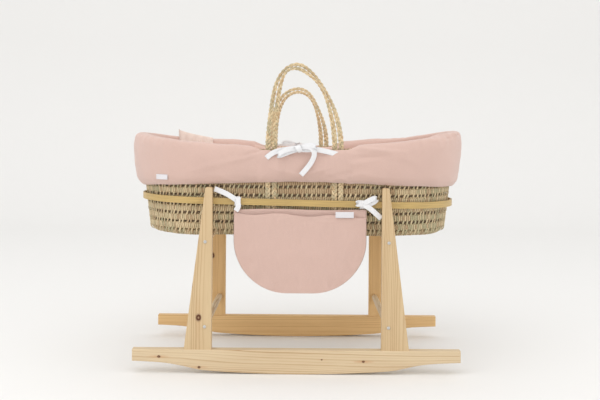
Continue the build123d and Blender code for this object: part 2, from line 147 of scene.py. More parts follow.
class Finishes(bpy.types.PropertyGroup):
    """Colours of the materials."""
    pine_pale: colour("Pine, early wood", "Between the growth lines", (0.72, 0.56, 0.36, 1))
    pine_dark: colour("Pine, late wood", "In the growth lines", (0.42, 0.235, 0.10, 1))
    knot: colour("Knot", "Heart of a knot", (0.11, 0.035, 0.014, 1))
    hoop: colour("Hoop", "Bent wood band", (0.54, 0.37, 0.13, 1))
    palm_pale: colour("Palm leaf, pale", "Sun-bleached strips", (0.63, 0.485, 0.28, 1))
    palm_green: colour("Palm leaf, green", "Young strips", (0.37, 0.33, 0.18, 1))
    palm_brown: colour("Palm leaf, brown", "Weathered strips", (0.37, 0.215, 0.10, 1))
    plait: colour("Plait", "Leaf of the handles", (0.68, 0.515, 0.30, 1))
    pink: colour("Pink cotton", "Skirt and pocket", (0.705, 0.495, 0.428, 1))
    lining: colour("Lining cotton", "Inside of the basket", (0.79, 0.58, 0.50, 1))
    tape: colour("Tape", "Cotton tapes", (0.86, 0.86, 0.875, 1))
    label: colour("Label", "Blank woven labels", (0.80, 0.775, 0.80, 1))
    sheet: colour("Mattress cover", "Cotton over the foam", (0.86, 0.84, 0.80, 1))


class StageSizes(bpy.types.PropertyGroup):
    """Camera and lights."""
    distance: bpy.props.FloatProperty(
        name="Distance", description="Camera to the middle of the stand", default=2.25, unit="LENGTH")
    height: bpy.props.FloatProperty(
        name="Height", description="Camera above the floor", default=0.588, unit="LENGTH")
    aside: bpy.props.FloatProperty(
        name="Aside", description="Camera to the right of the middle", default=0.005, unit="LENGTH")
    lens: bpy.props.FloatProperty(name="Lens", description="Focal length in millimetres", default=51.2)
    drop: bpy.props.FloatProperty(
        name="View drop", description="How far the level camera's view is shifted down, in widths",
        default=0.1173)
    roll: bpy.props.FloatProperty(
        name="Roll", description="Camera's turn about its view", default=math.radians(0.42), subtype="ANGLE")
    key: bpy.props.FloatProperty(
        name="Key light", description="Watts of the large overhead light", default=13)
    fill: bpy.props.FloatProperty(
        name="Fill light", description="Watts of each side light", default=7)
    sky: bpy.props.FloatProperty(
        name="Sky", description="Strength of the even light all round", default=1.02)


def basket():
    """Sizes of the woven basket."""
    return bpy.context.scene.basket_sizes


def cloth():
    """Sizes of the cloth pieces."""
    return bpy.context.scene.cloth_sizes


def finishes():
    """Colours of the materials."""
    return bpy.context.scene.basket_finishes


# ---------------------------------------------------------------- shapes
def smooth(edge0, edge1, x):
    """Smoothstep: 0 before edge0, 1 after edge1, and 3t^2 - 2t^3 between."""
    t = np.clip((x - edge0) / (edge1 - edge0), 0, 1)
    return t * t * (3 - 2 * t)


def ripple(points, scale, seed, waves=14):
    """Soft noise: a mean of sine waves whose directions, lengths and phases come from a seed."""
    rng = np.random.default_rng(seed)
    way = rng.normal(size=(waves, 3))
    way *= (rng.uniform(0.6, 1.7, waves) / np.linalg.norm(way, axis=1))[:, None] * TAU / scale
    return np.sin(points @ way.T + rng.uniform(0, TAU, waves)).sum(-1) * (1.4 / waves)


def cubic_weights(f):
    """Six times a uniform cubic B-spline's weights for its four controls, at share f of the middle span."""
    return [(1 - f) ** 3, 3 * f ** 3 - 6 * f ** 2 + 4, -3 * f ** 3 + 3 * f ** 2 + 3 * f + 1, f ** 3]


def closed_basis(controls, samples):
    """Uniform cubic B-spline round a closed loop: rows of weights, one row for each sample."""
    t = np.arange(samples) * controls / samples
    i = np.floor(t).astype(int)
    weights = np.stack(cubic_weights(t - i)) / 6
    basis = np.zeros((samples, controls))
    for k in range(4):
        np.add.at(basis, (np.arange(samples), (i + k - 1) % controls), weights[k])
    return basis


def open_curve(controls, samples):
    """Uniform cubic B-spline from the first control to the last, each end's neighbour mirrored beyond it."""
    c = np.asarray(controls, float)
    c = np.vstack([2 * c[0] - c[1], c, 2 * c[-1] - c[-2]])
    t = np.linspace(0, len(c) - 3, samples)
    i = np.minimum(np.floor(t).astype(int), len(c) - 4)
    weights = cubic_weights((t - i)[:, None])
    return sum(w * c[i + k] for k, w in enumerate(weights)) / 6


def oval(along, radius, height):
    """Point of the oval: a foot on the core line plus radius times the outward normal.

    along is 0 to 1 round the oval from the middle of the front, towards the head end. Foot and normal's
    angle both change linearly with it: the foot on the straights, the angle on the half circles.
    """
    turn = math.pi * END_RADIUS
    stops = np.cumsum([0, OVAL_HALF, turn, 2 * OVAL_HALF, turn, OVAL_HALF])
    t = (np.asarray(along) % 1.0) * stops[-1]
    foot = np.interp(t, stops, [0, OVAL_HALF, OVAL_HALF, -OVAL_HALF, -OVAL_HALF, 0])
    angle = np.interp(t, stops, [0, 0, math.pi, math.pi, TAU, TAU])
    x, y, z = np.broadcast_arrays(foot + radius * np.sin(angle), -radius * np.cos(angle), height)
    return np.stack([x, y, z], -1)


def wall_radius(height):
    """Outer radius of the wall at a height: it leans out evenly."""
    return FLOOR_RADIUS + basket().corner + basket().lean * (height - BASE)


def rim_at(x):
    """Height of the rim: a circle's arc from mid-side up to each end."""
    mid = BASE + basket().rim
    reach = OVAL_HALF + wall_radius(mid)
    rise = np.where(x < 0, basket().foot_rise, basket().head_rise)
    radius = (reach ** 2 + rise ** 2) / (2 * rise)
    return mid + radius - np.sqrt(radius ** 2 - x ** 2)


def unit(v):
    """Vectors of length one."""
    return v / np.maximum(np.linalg.norm(v, axis=-1, keepdims=True), 1e-12)


def grids(name, points, closed_along=False, closed_round=True, uv=None, merge=False):
    """One mesh from points of shape (strands, stations, round, 3): a quad between neighbours on each grid.

    A tube with open ends gets flat caps. uv is (strands, stations + 1, round + 1, 2), or one unit square for
    each strand. Faces are turned outwards by the sign of the enclosed volume. merge joins points that meet.
    """
    strands, stations, around = points.shape[:3]
    a = np.arange(stations if closed_along else stations - 1)
    b = np.arange(around if closed_round else around - 1)
    k, i, j = np.meshgrid(np.arange(strands), a, b, indexing="ij")
    corner = [(i, j), (i + 1, j), (i + 1, j + 1), (i, j + 1)]
    index = [(k * stations + p % stations) * around + q % around for p, q in corner]
    quads = np.stack(index, -1).reshape(-1, 4)
    flat = points.reshape(-1, 3)
    t = np.concatenate([quads[:, [0, 1, 2]], quads[:, [0, 2, 3]]])
    middle = flat.mean(0)
    volume = np.einsum("ij,ij->i", flat[t[:, 0]] - middle,
                       np.cross(flat[t[:, 1]] - middle, flat[t[:, 2]] - middle)).sum()
    if uv is None:
        grid = np.meshgrid(np.linspace(0, 1, stations + 1), np.linspace(0, 1, around + 1), indexing="ij")
        uv = np.broadcast_to(np.stack(grid, -1), (strands, stations + 1, around + 1, 2))
    loops = np.stack([uv[k, p, q] for p, q in corner], -2).reshape(-1, 4, 2)
    if volume < 0:
        quads, loops = quads[:, ::-1], loops[:, ::-1]
    faces, corners = quads.tolist(), loops.reshape(-1, 2)
    if closed_round and not closed_along:
        first = (np.arange(strands)[:, None] * stations) * around + np.arange(around)
        last = first + (stations - 1) * around
        rings = [first, last[:, ::-1]] if volume >= 0 else [first[:, ::-1], last]
        for ring in rings:
            faces += ring.tolist()
            corners = np.concatenate([corners, np.zeros((ring.size, 2))])
    mesh = bpy.data.meshes.new(name)
    mesh.from_pydata(flat.tolist(), [], faces)
    layer = mesh.uv_layers.new(name="UVMap")
    layer.data.foreach_set("uv", corners.astype(np.float32).ravel())
    strand = mesh.attributes.new("strand", "FLOAT", "POINT")
    tone = np.random.default_rng(strands).random(strands)
    strand.data.foreach_set("value", np.repeat(tone, stations * around).astype(np.float32))
    mesh.shade_smooth()
    mesh.update()
    obj = bpy.data.objects.new(name, mesh)
    bpy.context.collection.objects.link(obj)
    if merge:
        only(obj)
        bpy.ops.object.mode_set(mode="EDIT")
        bpy.ops.mesh.select_all(action="SELECT")
        bpy.ops.mesh.remove_doubles(threshold=1e-5)
        bpy.ops.mesh.normals_make_consistent(inside=False)
        bpy.ops.object.mode_set(mode="OBJECT")
    return obj


def only(obj):
    """Makes obj the one selected and active object."""
    bpy.ops.object.select_all(action="DESELECT")
    obj.select_set(True)
    bpy.context.view_layer.objects.active = obj


def tubes(paths, across, width, depth, around=8, power=1.0):
    """Sections carried along paths of shape (strands, stations, 3).

    A section is a superellipse: width/2 times cos(a)^power one way, depth/2 times sin(a)^power the other.
    'across' is the direction of the width, before it is squared to the path.
    """
    along = unit(np.gradient(paths, axis=1))
    side = unit(across - along * (across * along).sum(-1, keepdims=True))
    out = np.cross(along, side)
    angle = TAU * (np.arange(around) + 0.5) / around
    c, s = np.cos(angle), np.sin(angle)
    ring = np.stack([np.sign(c) * np.abs(c) ** power, np.sign(s) * np.abs(s) ** power], -1) / 2
    width, depth = (np.broadcast_to(v, paths.shape[:2])[..., None, None] for v in (width, depth))
    return (paths[:, :, None] + side[:, :, None] * ring[:, 0, None] * width
            + out[:, :, None] * ring[:, 1, None] * depth)


def padded_ring(controls, round_samples, along):
    """A closed pad round the oval: each control is (radius, height) at all stations, joined by a B-spline."""
    basis = closed_basis(len(controls), round_samples)
    stations = np.stack([np.stack(np.broadcast_arrays(*c, along)[:2], -1) for c in controls])
    section = np.einsum("rc,csk->srk", basis, stations)
    return oval(along[:, None], section[..., 0], section[..., 1])[None]


def place(obj, body, material, nodes=()):
    """Gives a piece its material, the nodes it stands for and its body, if it rides only one."""
    obj.data.materials.clear()
    obj.data.materials.append(material)
    if body:
        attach(obj, body)
    if nodes:
        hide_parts(*nodes)
    return obj


# ---------------------------------------------------------------- shader building blocks
def add(tree, kind, **settings):
    """A node of a kind. Settings named in_N are its input sockets by number, others are attributes."""
    node = tree.nodes.new("ShaderNode" + kind)
    for key, value in settings.items():
        if key.startswith("in_"):
            socket = node.inputs[int(key[3:])]
            if isinstance(value, bpy.types.NodeSocket):
                tree.links.new(value, socket)
            else:
                socket.default_value = value
        else:
            setattr(node, key, value)
    return node


def maths(tree, operation, a, b=0.0, c=0.0):
    """Output of a Math node."""
    return add(tree, "Math", operation=operation, in_0=a, in_1=b, in_2=c).outputs[0]


def vector_maths(tree, operation, a, b=(0, 0, 0)):
    """Output of a Vector Math node: a number for LENGTH, else a vector."""
    node = add(tree, "VectorMath", operation=operation, in_0=a, in_1=b)
    return node.outputs["Value"] if operation == "LENGTH" else node.outputs[0]


def mix(tree, factor, a, b, mode="MIX"):
    """A colour mix; a and b are sockets or RGBA values."""
    node = add(tree, "Mix", data_type="RGBA", blend_type=mode, in_0=factor)
    for socket, value in ((node.inputs[6], a), (node.inputs[7], b)):
        if isinstance(value, bpy.types.NodeSocket):
            tree.links.new(value, socket)
        else:
            socket.default_value = value
    return node.outputs[2]


def ramp(tree, factor, stops):
    """A colour ramp from (position, RGBA or grey) stops."""
    node = add(tree, "ValToRGB", in_0=factor)
    marks = node.color_ramp.elements
    while len(marks) < len(stops):
        marks.new(0.5)
    for mark, (position, value) in zip(marks, stops):
        mark.position = position
        mark.color = (value, value, value, 1) if isinstance(value, (int, float)) else value
    return node.outputs[0]


def noise(tree, vector, scale, detail=3.0, roughness=0.5):
    """Noise value, read at a vector."""
    return add(tree, "TexNoise", in_0=vector, in_2=scale, in_3=detail, in_4=roughness).outputs[0]


def stretched(tree, vector, share):
    """A vector whose X is scaled by a share, so that a texture read at it runs long along X."""
    return add(tree, "Mapping", vector_type="POINT", in_0=vector, in_3=(share, 1, 1)).outputs[0]


def group(name, inputs, outputs):
    """An empty shader node group with named sockets. inputs are (kind, name, default)."""
    tree = bpy.data.node_groups.new(name, "ShaderNodeTree")
    for kind, label, default in inputs:
        socket = tree.interface.new_socket(label, in_out="INPUT", socket_type="NodeSocket" + kind)
        if default is not None:
            socket.default_value = default
    for kind, label in outputs:
        tree.interface.new_socket(label, in_out="OUTPUT", socket_type="NodeSocket" + kind)
    return tree, tree.nodes.new("NodeGroupInput").outputs, tree.nodes.new("NodeGroupOutput").inputs


def wood_grain():
    """Node group: growth lines of a board whose length runs along X of the vector it is given.

    The lines are rings about an axis outside the board, bent by slow noise; fibres are fine noise
    drawn out along the board.
    """
    tree, given, result = group("wood grain", [
        ("Vector", "Vector", None), ("Color", "Early", (0.8, 0.6, 0.4, 1)),
        ("Color", "Late", (0.6, 0.4, 0.2, 1)), ("Float", "Ring scale", 190.0), ("Float", "Contrast", 0.6),
        ("Vector", "Pith", (0, 0.08, 0.05))],
        [("Color", "Color"), ("Float", "Height"), ("Float", "Roughness")])
    link = tree.links.new
    slow = stretched(tree, given["Vector"], 0.11)
    bend = maths(tree, "MULTIPLY_ADD", noise(tree, slow, 9.0, 2.0), 0.030,
                 maths(tree, "MULTIPLY", noise(tree, slow, 60.0, 2.0), 0.0022))
    centred = vector_maths(tree, "SUBTRACT", slow, given["Pith"])
    flat = vector_maths(tree, "MULTIPLY", centred, (0.10, 1, 1))
    away = maths(tree, "ADD", bend, vector_maths(tree, "LENGTH", flat))
    ring = maths(tree, "MULTIPLY", away, given["Ring scale"])
    line = ramp(tree, maths(tree, "FRACT", ring), [(0.0, 0.0), (0.55, 0.15), (0.88, 1.0), (1.0, 0.0)])
    year = maths(tree, "FLOOR", ring)
    strength = add(tree, "TexWhiteNoise", noise_dimensions="1D", in_1=year).outputs[0]
    line = maths(tree, "MULTIPLY", line, maths(tree, "MULTIPLY_ADD", strength, 0.8, 0.2))
    fibre = noise(tree, stretched(tree, given["Vector"], 0.05), 620.0, 4.0, 0.65)
    cloud = noise(tree, slow, 34.0, 3.0)
    amount = maths(tree, "MULTIPLY", line, given["Contrast"])
    shade = maths(tree, "MULTIPLY_ADD", fibre, 0.20, amount)
    shade = maths(tree, "MULTIPLY_ADD", cloud, 0.50, maths(tree, "SUBTRACT", shade, 0.30))
    tone = mix(tree, maths(tree, "MAXIMUM", shade, 0.0), given["Early"], given["Late"])
    link(tone, result["Color"])
    link(maths(tree, "MULTIPLY_ADD", fibre, 0.6, maths(tree, "MULTIPLY", line, -0.4)), result["Height"])
    link(maths(tree, "MULTIPLY_ADD", fibre, 0.22, 0.44), result["Roughness"])
    return tree


def wood_knot():
    """Node group: one knot, a dark ring with a paler heart, and a reddish flare along the grain (X)."""
    tree, given, result = group("wood knot", [
        ("Vector", "Vector", None), ("Color", "Color", (1, 1, 1, 1)), ("Color", "Knot", (0.2, 0.1, 0.03, 1)),
        ("Vector", "Centre", (0, 0, 0)), ("Float", "Radius", 0.006), ("Float", "Flare", 1.0)],
        [("Color", "Color")])
    offset = vector_maths(tree, "SUBTRACT", given["Vector"], given["Centre"])
    wobble = maths(tree, "MULTIPLY_ADD", noise(tree, given["Vector"], 200.0, 2.0), 0.5, 0.75)
    size = maths(tree, "MULTIPLY", given["Radius"], wobble)

    def reach(squeeze):
        """Distance from the centre in knot diameters, with the offset squeezed along each axis."""
        length = vector_maths(tree, "LENGTH", vector_maths(tree, "MULTIPLY", offset, squeeze))
        return maths(tree, "DIVIDE", maths(tree, "DIVIDE", length, size), 2.0)

    eye = ramp(tree, reach((0.8, 0.25, 1)), [(0.0, 0.5), (0.10, 0.5), (0.22, 1.0), (0.42, 1.0),
                                             (0.55, 0.35), (0.75, 0.0)])
    flare = ramp(tree, reach((0.13, 0.25, 1)), [(0.0, 0.7), (0.3, 0.42), (0.75, 0.0)])
    warm = mix(tree, maths(tree, "MULTIPLY", flare, given["Flare"]), given["Color"], (0.52, 0.24, 0.09, 1))
    tree.links.new(mix(tree, eye, warm, given["Knot"]), result["Color"])
    return tree


def cloth_weave():
    """Node group: plain weave as crossed sine threads, with slubs and a faint mottling of the dye."""
    tree, given, result = group("cloth weave", [
        ("Vector", "Vector", None), ("Color", "Dye", (0.8, 0.5, 0.4, 1)), ("Float", "Thread pitch", 0.0007),
        ("Float", "Mottle", 0.08)],
        [("Color", "Color"), ("Float", "Height"), ("Float", "Roughness")])
    parts = add(tree, "SeparateXYZ", in_0=given["Vector"])
    turn = maths(tree, "DIVIDE", TAU, given["Thread pitch"])

    def threads(axis):
        """Sine of the turns made along an axis and Y, which keeps both sets visible on any face."""
        run = maths(tree, "ADD", parts.outputs[axis], parts.outputs[1])
        return maths(tree, "SINE", maths(tree, "MULTIPLY", run, turn))

    cross = maths(tree, "MULTIPLY", threads(0), threads(2))
    slub = noise(tree, given["Vector"], 420.0, 3.0)
    cloud = noise(tree, given["Vector"], 14.0, 4.0, 0.6)
    light = maths(tree, "MULTIPLY_ADD", cross, 0.03, maths(tree, "MULTIPLY_ADD", slub, 0.10, 0.92))
    swing = maths(tree, "MULTIPLY", maths(tree, "SUBTRACT", cloud, 0.5), given["Mottle"])
    dyed = add(tree, "VectorMath", operation="SCALE", in_0=given["Dye"])
    tree.links.new(maths(tree, "ADD", light, swing), dyed.inputs["Scale"])
    tree.links.new(dyed.outputs[0], result["Color"])
    tree.links.new(maths(tree, "MULTIPLY_ADD", cross, 0.5, slub), result["Height"])
    tree.links.new(maths(tree, "MULTIPLY_ADD", slub, 0.15, 0.82), result["Roughness"])
    return tree


def leaf_strip():
    """Node group: palm leaf. The strip's number picks its tone, from pale, green and brown.

    Strip steps by one from strip to strip, Vector is where the fibres are read, Depth is how far into a seam
    the point lies, which darkens it as painted shade, and Aged is how much the place is browned,
    as painted shade under the skirt and partly the leaf's own browning.
    """
    tree, given, result = group("leaf strip", [
        ("Vector", "Vector", None), ("Float", "Strip", 0.0), ("Color", "Pale", (0.7, 0.55, 0.3, 1)),
        ("Color", "Green", (0.4, 0.4, 0.2, 1)), ("Color", "Brown", (0.4, 0.25, 0.1, 1)),
        ("Float", "Depth", 0.0), ("Float", "Aged", 0.0)],
        [("Color", "Color"), ("Float", "Height"), ("Float", "Roughness")])
    dice = add(tree, "TexWhiteNoise", noise_dimensions="1D", in_1=given["Strip"]).outputs[0]
    patch = noise(tree, given["Vector"], 7.0, 2.0)
    pick = maths(tree, "MULTIPLY_ADD", dice, 0.55, maths(tree, "MULTIPLY_ADD", patch, 0.9, -0.22))
    tone = mix(tree, ramp(tree, pick, [(0.25, 0.0), (0.62, 1.0)]), given["Green"], given["Pale"])
    tone = mix(tree, ramp(tree, maths(tree, "FRACT", maths(tree, "MULTIPLY", dice, 7.3)),
                          [(0.68, 0.0), (0.95, 0.8)]), tone, given["Brown"])
    cloud = ramp(tree, noise(tree, given["Vector"], 11.0, 2.0), [(0.25, 0.15), (0.52, 0.9)])
    # Painted shade: Aged mixes the tone towards brown in cloudy patches, for shade under the skirt and partly
    # real browning.
    tone = mix(tree, maths(tree, "MULTIPLY", given["Aged"], cloud), tone, given["Brown"])
    fibre = noise(tree, given["Vector"], 900.0, 3.0, 0.6)
    tone = mix(tree, maths(tree, "MULTIPLY", fibre, 0.35), tone, (0.93, 0.84, 0.62, 1))
    # Painted shade: Depth multiplies the tone towards dark brown, as shade deep in a seam.
    dark = mix(tree, 1.0, tone, (0.22, 0.13, 0.07, 1), "MULTIPLY")
    tree.links.new(mix(tree, given["Depth"], tone, dark), result["Color"])
    tree.links.new(fibre, result["Height"])
    tree.links.new(maths(tree, "MULTIPLY_ADD", fibre, 0.25, 0.5), result["Roughness"])
    return tree


def use(tree, name, **values):
    """A node that holds the group of that name, with its inputs set by name."""
    node = add(tree, "Group", node_tree=bpy.data.node_groups[name])
    for label, value in values.items():
        socket = node.inputs[label.replace("_", " ")]
        if isinstance(value, bpy.types.NodeSocket):
            tree.links.new(value, socket)
        else:
            socket.default_value = value
    return node


def finish(name, build, bump, **shader):
    """A material: build(tree) gives colour, height and roughness sockets for its Principled BSDF."""
    material = bpy.data.materials.new(name)
    material.use_nodes = True
    tree = material.node_tree
    principled = tree.nodes["Principled BSDF"]
    tone, height, rough = build(tree)
    tree.links.new(tone, principled.inputs["Base Color"])
    tree.links.new(rough, principled.inputs["Roughness"])
    node = add(tree, "Bump", in_0=1.0, in_1=bump, in_3=height)
    tree.links.new(node.outputs[0], principled.inputs["Normal"])
    for label, value in shader.items():
        principled.inputs[label.replace("_", " ")].default_value = value
    return material


def object_vector(tree, turn=(0, 0, 0)):
    """Object coordinates, turned by a Mapping node."""
    spot = add(tree, "TexCoord").outputs["Object"]
    return add(tree, "Mapping", vector_type="POINT", in_0=spot, in_2=turn).outputs[0]


# The way a board's length runs, as the turn that brings it onto X.
ALONG_X = (0, 0, 0)
ALONG_Y = (0, 0, math.radians(-90))
ALONG_Z = (0, math.radians(90), 0)


def turned(point, turn):
    """Where a point goes under the Mapping node's turn."""
    rotation = Matrix.Rotation(turn[2], 3, "Z") @ Matrix.Rotation(turn[1], 3, "Y")
    return tuple(rotation @ Vector(point))


def tinted(value, share):
    """An opaque colour, each channel scaled by its share or by one share for all."""
    return tuple(float(v) for v in np.array(value[:3]) * share) + (1,)


def pine(name, turn, pith, knots, tint):
    """Unvarnished pine. knots are (point, radius, share of reddish flare) in the frame."""
    look = finishes()

    def build(tree):
        vector = object_vector(tree, turn)
        grain = use(tree, "wood grain", Vector=vector, Early=tinted(look.pine_pale, tint),
                    Late=tinted(look.pine_dark, tint), Ring_scale=380.0, Contrast=0.95,
                    Pith=turned(pith, turn))
        tone = grain.outputs["Color"]
        for point, radius, flare in knots:
            tone = use(tree, "wood knot", Vector=vector, Color=tone, Knot=tuple(look.knot),
                       Centre=turned(point, turn), Radius=radius, Flare=flare).outputs["Color"]
        return tone, grain.outputs["Height"], grain.outputs["Roughness"]

    return finish(name, build, bump=0.0006, Specular_IOR_Level=0.35)


def bent_wood():
    """Satin bent wood, streaked round the hoop."""
    look = finishes()

    def build(tree):
        where = add(tree, "Mapping", vector_type="POINT", in_0=object_vector(tree),
                    in_3=(0.03, 0.03, 1)).outputs[0]
        streak = noise(tree, where, 520.0, 4.0, 0.6)
        slow = noise(tree, object_vector(tree), 22.0, 2.0)
        tone = mix(tree, ramp(tree, streak, [(0.3, 0.0), (0.72, 1.0)]), tinted(look.hoop, 1.14),
                   tinted(look.hoop, 0.72))
        tone = mix(tree, maths(tree, "MULTIPLY", slow, 0.5), tone, tuple(look.hoop))
        return tone, streak, maths(tree, "MULTIPLY_ADD", streak, 0.2, 0.34)

    return finish("bent hoop wood", build, bump=0.0003, Coat_Weight=0.15, Coat_Roughness=0.35)


def cotton(name, dye, mottle=0.07, bump=0.00022):
    """Plain woven cotton of a dye."""
    def build(tree):
        node = use(tree, "cloth weave", Vector=object_vector(tree), Dye=tuple(dye), Mottle=mottle,
                   Thread_pitch=cloth().thread)
        return node.outputs["Color"], node.outputs["Height"], node.outputs["Roughness"]

    return finish(name, build, bump=bump, Sheen_Weight=0.40, Sheen_Roughness=0.5, Specular_IOR_Level=0.15)


def palm_wall():
    """Wound palm leaf. Wraps are numbered by the first UV axis and rows by the second.

    The wraps' edges are darkened as painted shade in the seams between them, and the leaf is browner at
    mid-side above the hoop, as painted shade under the skirt and partly the leaf's own browning.
    """
    look = finishes()

    def build(tree):
        uv = add(tree, "SeparateXYZ", in_0=add(tree, "UVMap", uv_map="UVMap").outputs[0])
        strip = maths(tree, "MULTIPLY_ADD", maths(tree, "FLOOR", uv.outputs[1]), 977.0,
                      maths(tree, "FLOOR", uv.outputs[0]))
        side = maths(tree, "FRACT", uv.outputs[0])
        # Painted shade: the wraps' edges are darkened, as shade in the seams between them.
        seam = ramp(tree, side, [(0.0, 1.0), (0.2, 0.1), (0.8, 0.0), (1.0, 1.0)])
        spot = object_vector(tree)
        part = add(tree, "SeparateXYZ", in_0=spot)
        inward = ramp(tree, maths(tree, "ABSOLUTE", part.outputs[0]), [(0.12, 1.0), (0.27, 0.0)])
        # Painted shade: above 0.43 m, and within 0.12 m of the middle fading out by 0.27 m, the leaf turns
        # browner for the shade under the skirt, partly for the leaf's own browning.
        skirt_shade_and_browning = maths(tree, "MULTIPLY", ramp(tree, part.outputs[2], [(0.412, 0.0), (0.430, 1.0)]), inward)
        node = use(tree, "leaf strip", Vector=spot, Strip=strip, Pale=tuple(look.palm_pale), Aged=skirt_shade_and_browning,
                   Green=tuple(look.palm_green), Brown=tuple(look.palm_brown), Depth=seam)
        return node.outputs["Color"], node.outputs["Height"], node.outputs["Roughness"]

    return finish("palm leaf wall", build, bump=0.0004, Specular_IOR_Level=0.25)


def palm_strands(name, pale, green, brown, turns=0.0):
    """Loose strands, numbered by their attribute. turns is how often a strand's tone changes in a metre."""
    def build(tree):
        number = add(tree, "Attribute", attribute_name="strand").outputs["Fac"]
        strand = maths(tree, "MULTIPLY", number, 977.0)
        height = add(tree, "SeparateXYZ", in_0=object_vector(tree)).outputs[2]
        turn = maths(tree, "FLOOR", maths(tree, "MULTIPLY_ADD", height, turns, strand))
        node = use(tree, "leaf strip", Vector=object_vector(tree), Strip=maths(tree, "MULTIPLY", turn, 1.37),
                   Pale=pale, Green=green, Brown=brown)
        return node.outputs["Color"], node.outputs["Height"], node.outputs["Roughness"]

    return finish(name, build, bump=0.0004, Specular_IOR_Level=0.3)


def zinc():
    """Zinc plate with fine scratches."""
    def build(tree):
        scratch = noise(tree, object_vector(tree), 900.0, 3.0)
        tone = mix(tree, scratch, (0.50, 0.50, 0.49, 1), (0.74, 0.74, 0.73, 1))
        return tone, scratch, maths(tree, "MULTIPLY_ADD", scratch, 0.2, 0.22)

    return finish("zinc plate", build, bump=0.0001, Metallic=1.0)


def make_groups():
    """The shader groups that the materials share."""
    for maker in (wood_grain, wood_knot, cloth_weave, leaf_strip):
        maker()


# ---------------------------------------------------------------- stand
def wood_for_stand():
    """Each board gets its own grain and knots. A tint warms the rear boards and upper crossbars and darkens
    the front legs: partly the pine's own tone, partly painted shade and warm bounced light under and behind
    the basket.
    """
    # Painted shade: back (rear rocker, rear legs, upper crossbars) and upright (front legs) tint the pine for
    # the shade and warm bounced light under and behind the basket, partly also for the pine's own tone.
    front, back, upright = (0.98, 1.0, 1.02), (1.12, 0.98, 0.74), (0.92, 0.89, 0.82)
    rocker_knots = [((-0.330, -0.202, 0.041), 0.0028, 0.8), ((-0.233, -0.202, 0.016), 0.0026, 0.6),
                    ((0.061, -0.202, 0.036), 0.0016, 0.3), ((0.161, -0.202, 0.032), 0.0026, 1.0)]
    front_leg_knot = [((-0.2355, -0.202, 0.1345), 0.0062, 0.25)]
    rear_leg_knot = [((-0.2420, 0.18, 0.228), 0.0060, 0.3)]
    boards = {
        "front_rocker": (ALONG_X, (0, 0.02, -0.07), rocker_knots, front),
        "rear_rocker": (ALONG_X, (0, 0.26, 0.11), [], back),
        "front_left_leg": (ALONG_Z, (-0.20, -0.13, 0), front_leg_knot, upright),
        "front_right_leg": (ALONG_Z, (0.27, -0.14, 0), [], upright),
        "rear_left_leg": (ALONG_Z, (-0.30, 0.27, 0), rear_leg_knot, back),
        "rear_right_leg": (ALONG_Z, (0.14, 0.25, 0), [], back),
        "left_upper_crossbar": (ALONG_Y, (-0.26, 0, 0.29), [], back),
        "right_upper_crossbar": (ALONG_Y, (0.26, 0, 0.28), [], back),
        "left_lower_crossbar": (ALONG_Y, (-0.25, 0, 0.08), [], front),
        "right_lower_crossbar": (ALONG_Y, (0.25, 0, 0.07), [], front)}
    for node, (turn, pith, knots, tint) in boards.items():
        dress(node, pine(f"pine of {node.replace('_', ' ')}", turn, pith, knots, tint))
    dress("support_hoop", bent_wood())
    steel = zinc()
    for node in ("upper_crossbar_bolts", "lower_crossbar_bolts", "hoop_screws"):
        dress(node, steel)
    dress("leg_dowels", pine("turned dowel", ALONG_Y, (0, 0, 0.05), [], (0.9, 0.86, 0.8)))


def dress(node, material):
    """Gives a CAD node its finished material."""
    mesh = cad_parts[node].data
    mesh.materials.clear()
    mesh.materials.append(material)


# ---------------------------------------------------------------- woven basket
def coils(name, rows, per_wrap, around):
    """Closed coils round the oval, wound with leaf. rows are (radius, height, tilt, thickness, number).

    Each wrap bulges by 0.9 mm times |sin(pi u)|^0.6 over its width and stands a little proud or shy of its
    neighbours; a coil's section is a superellipse, and the wraps lean by a shear that grows with height.
    """
    size = basket()
    rng = np.random.default_rng(len(rows) * 31 + around)
    wraps = round(OVAL_LENGTH / size.wrap)
    count = wraps * per_wrap
    radius, height, tilt, thick, number = (np.array(v)[:, None, None] for v in zip(*rows))
    step = np.arange(count) / per_wrap
    bulge = np.abs(np.sin(math.pi * (step % 1))) ** 0.6
    proud = rng.uniform(-0.0004, 0.0005, (len(rows), wraps)).repeat(per_wrap, 1)
    sway = 0.0007 * np.sin(TAU * step / wraps * rng.integers(5, 11, len(rows))[:, None])
    angle = TAU * (np.arange(around) + 0.5) / around
    out = np.sign(np.cos(angle)) * np.abs(np.cos(angle)) ** 0.6
    up = np.sign(np.sin(angle)) * np.abs(np.sin(angle)) ** 0.6
    across = (thick / 2 - 0.0003 + (proud + 0.0009 * bulge)[..., None]) * out
    tall = ((size.row - size.row_gap) / 2 + 0.5 * proud[..., None]) * up
    lean = rng.uniform(-0.0022, 0.0022, len(rows))[:, None, None] * up / OVAL_LENGTH
    jitter = rng.uniform(-0.0004, 0.0004, (len(rows), wraps)).repeat(per_wrap, 1)[..., None] / OVAL_LENGTH
    points = oval((np.arange(count) / count)[None, :, None] + lean + jitter,
                  radius + across * np.cos(tilt) + tall * np.sin(tilt),
                  height + sway[..., None] - across * np.sin(tilt) + tall * np.cos(tilt))
    along, round_it, row = np.broadcast_arrays(np.arange(count + 1)[None, :, None] / per_wrap,
                                               np.linspace(0.02, 0.98, around + 1), number)
    return grids(name, points, closed_along=True, uv=np.stack([along, row + round_it], -1))


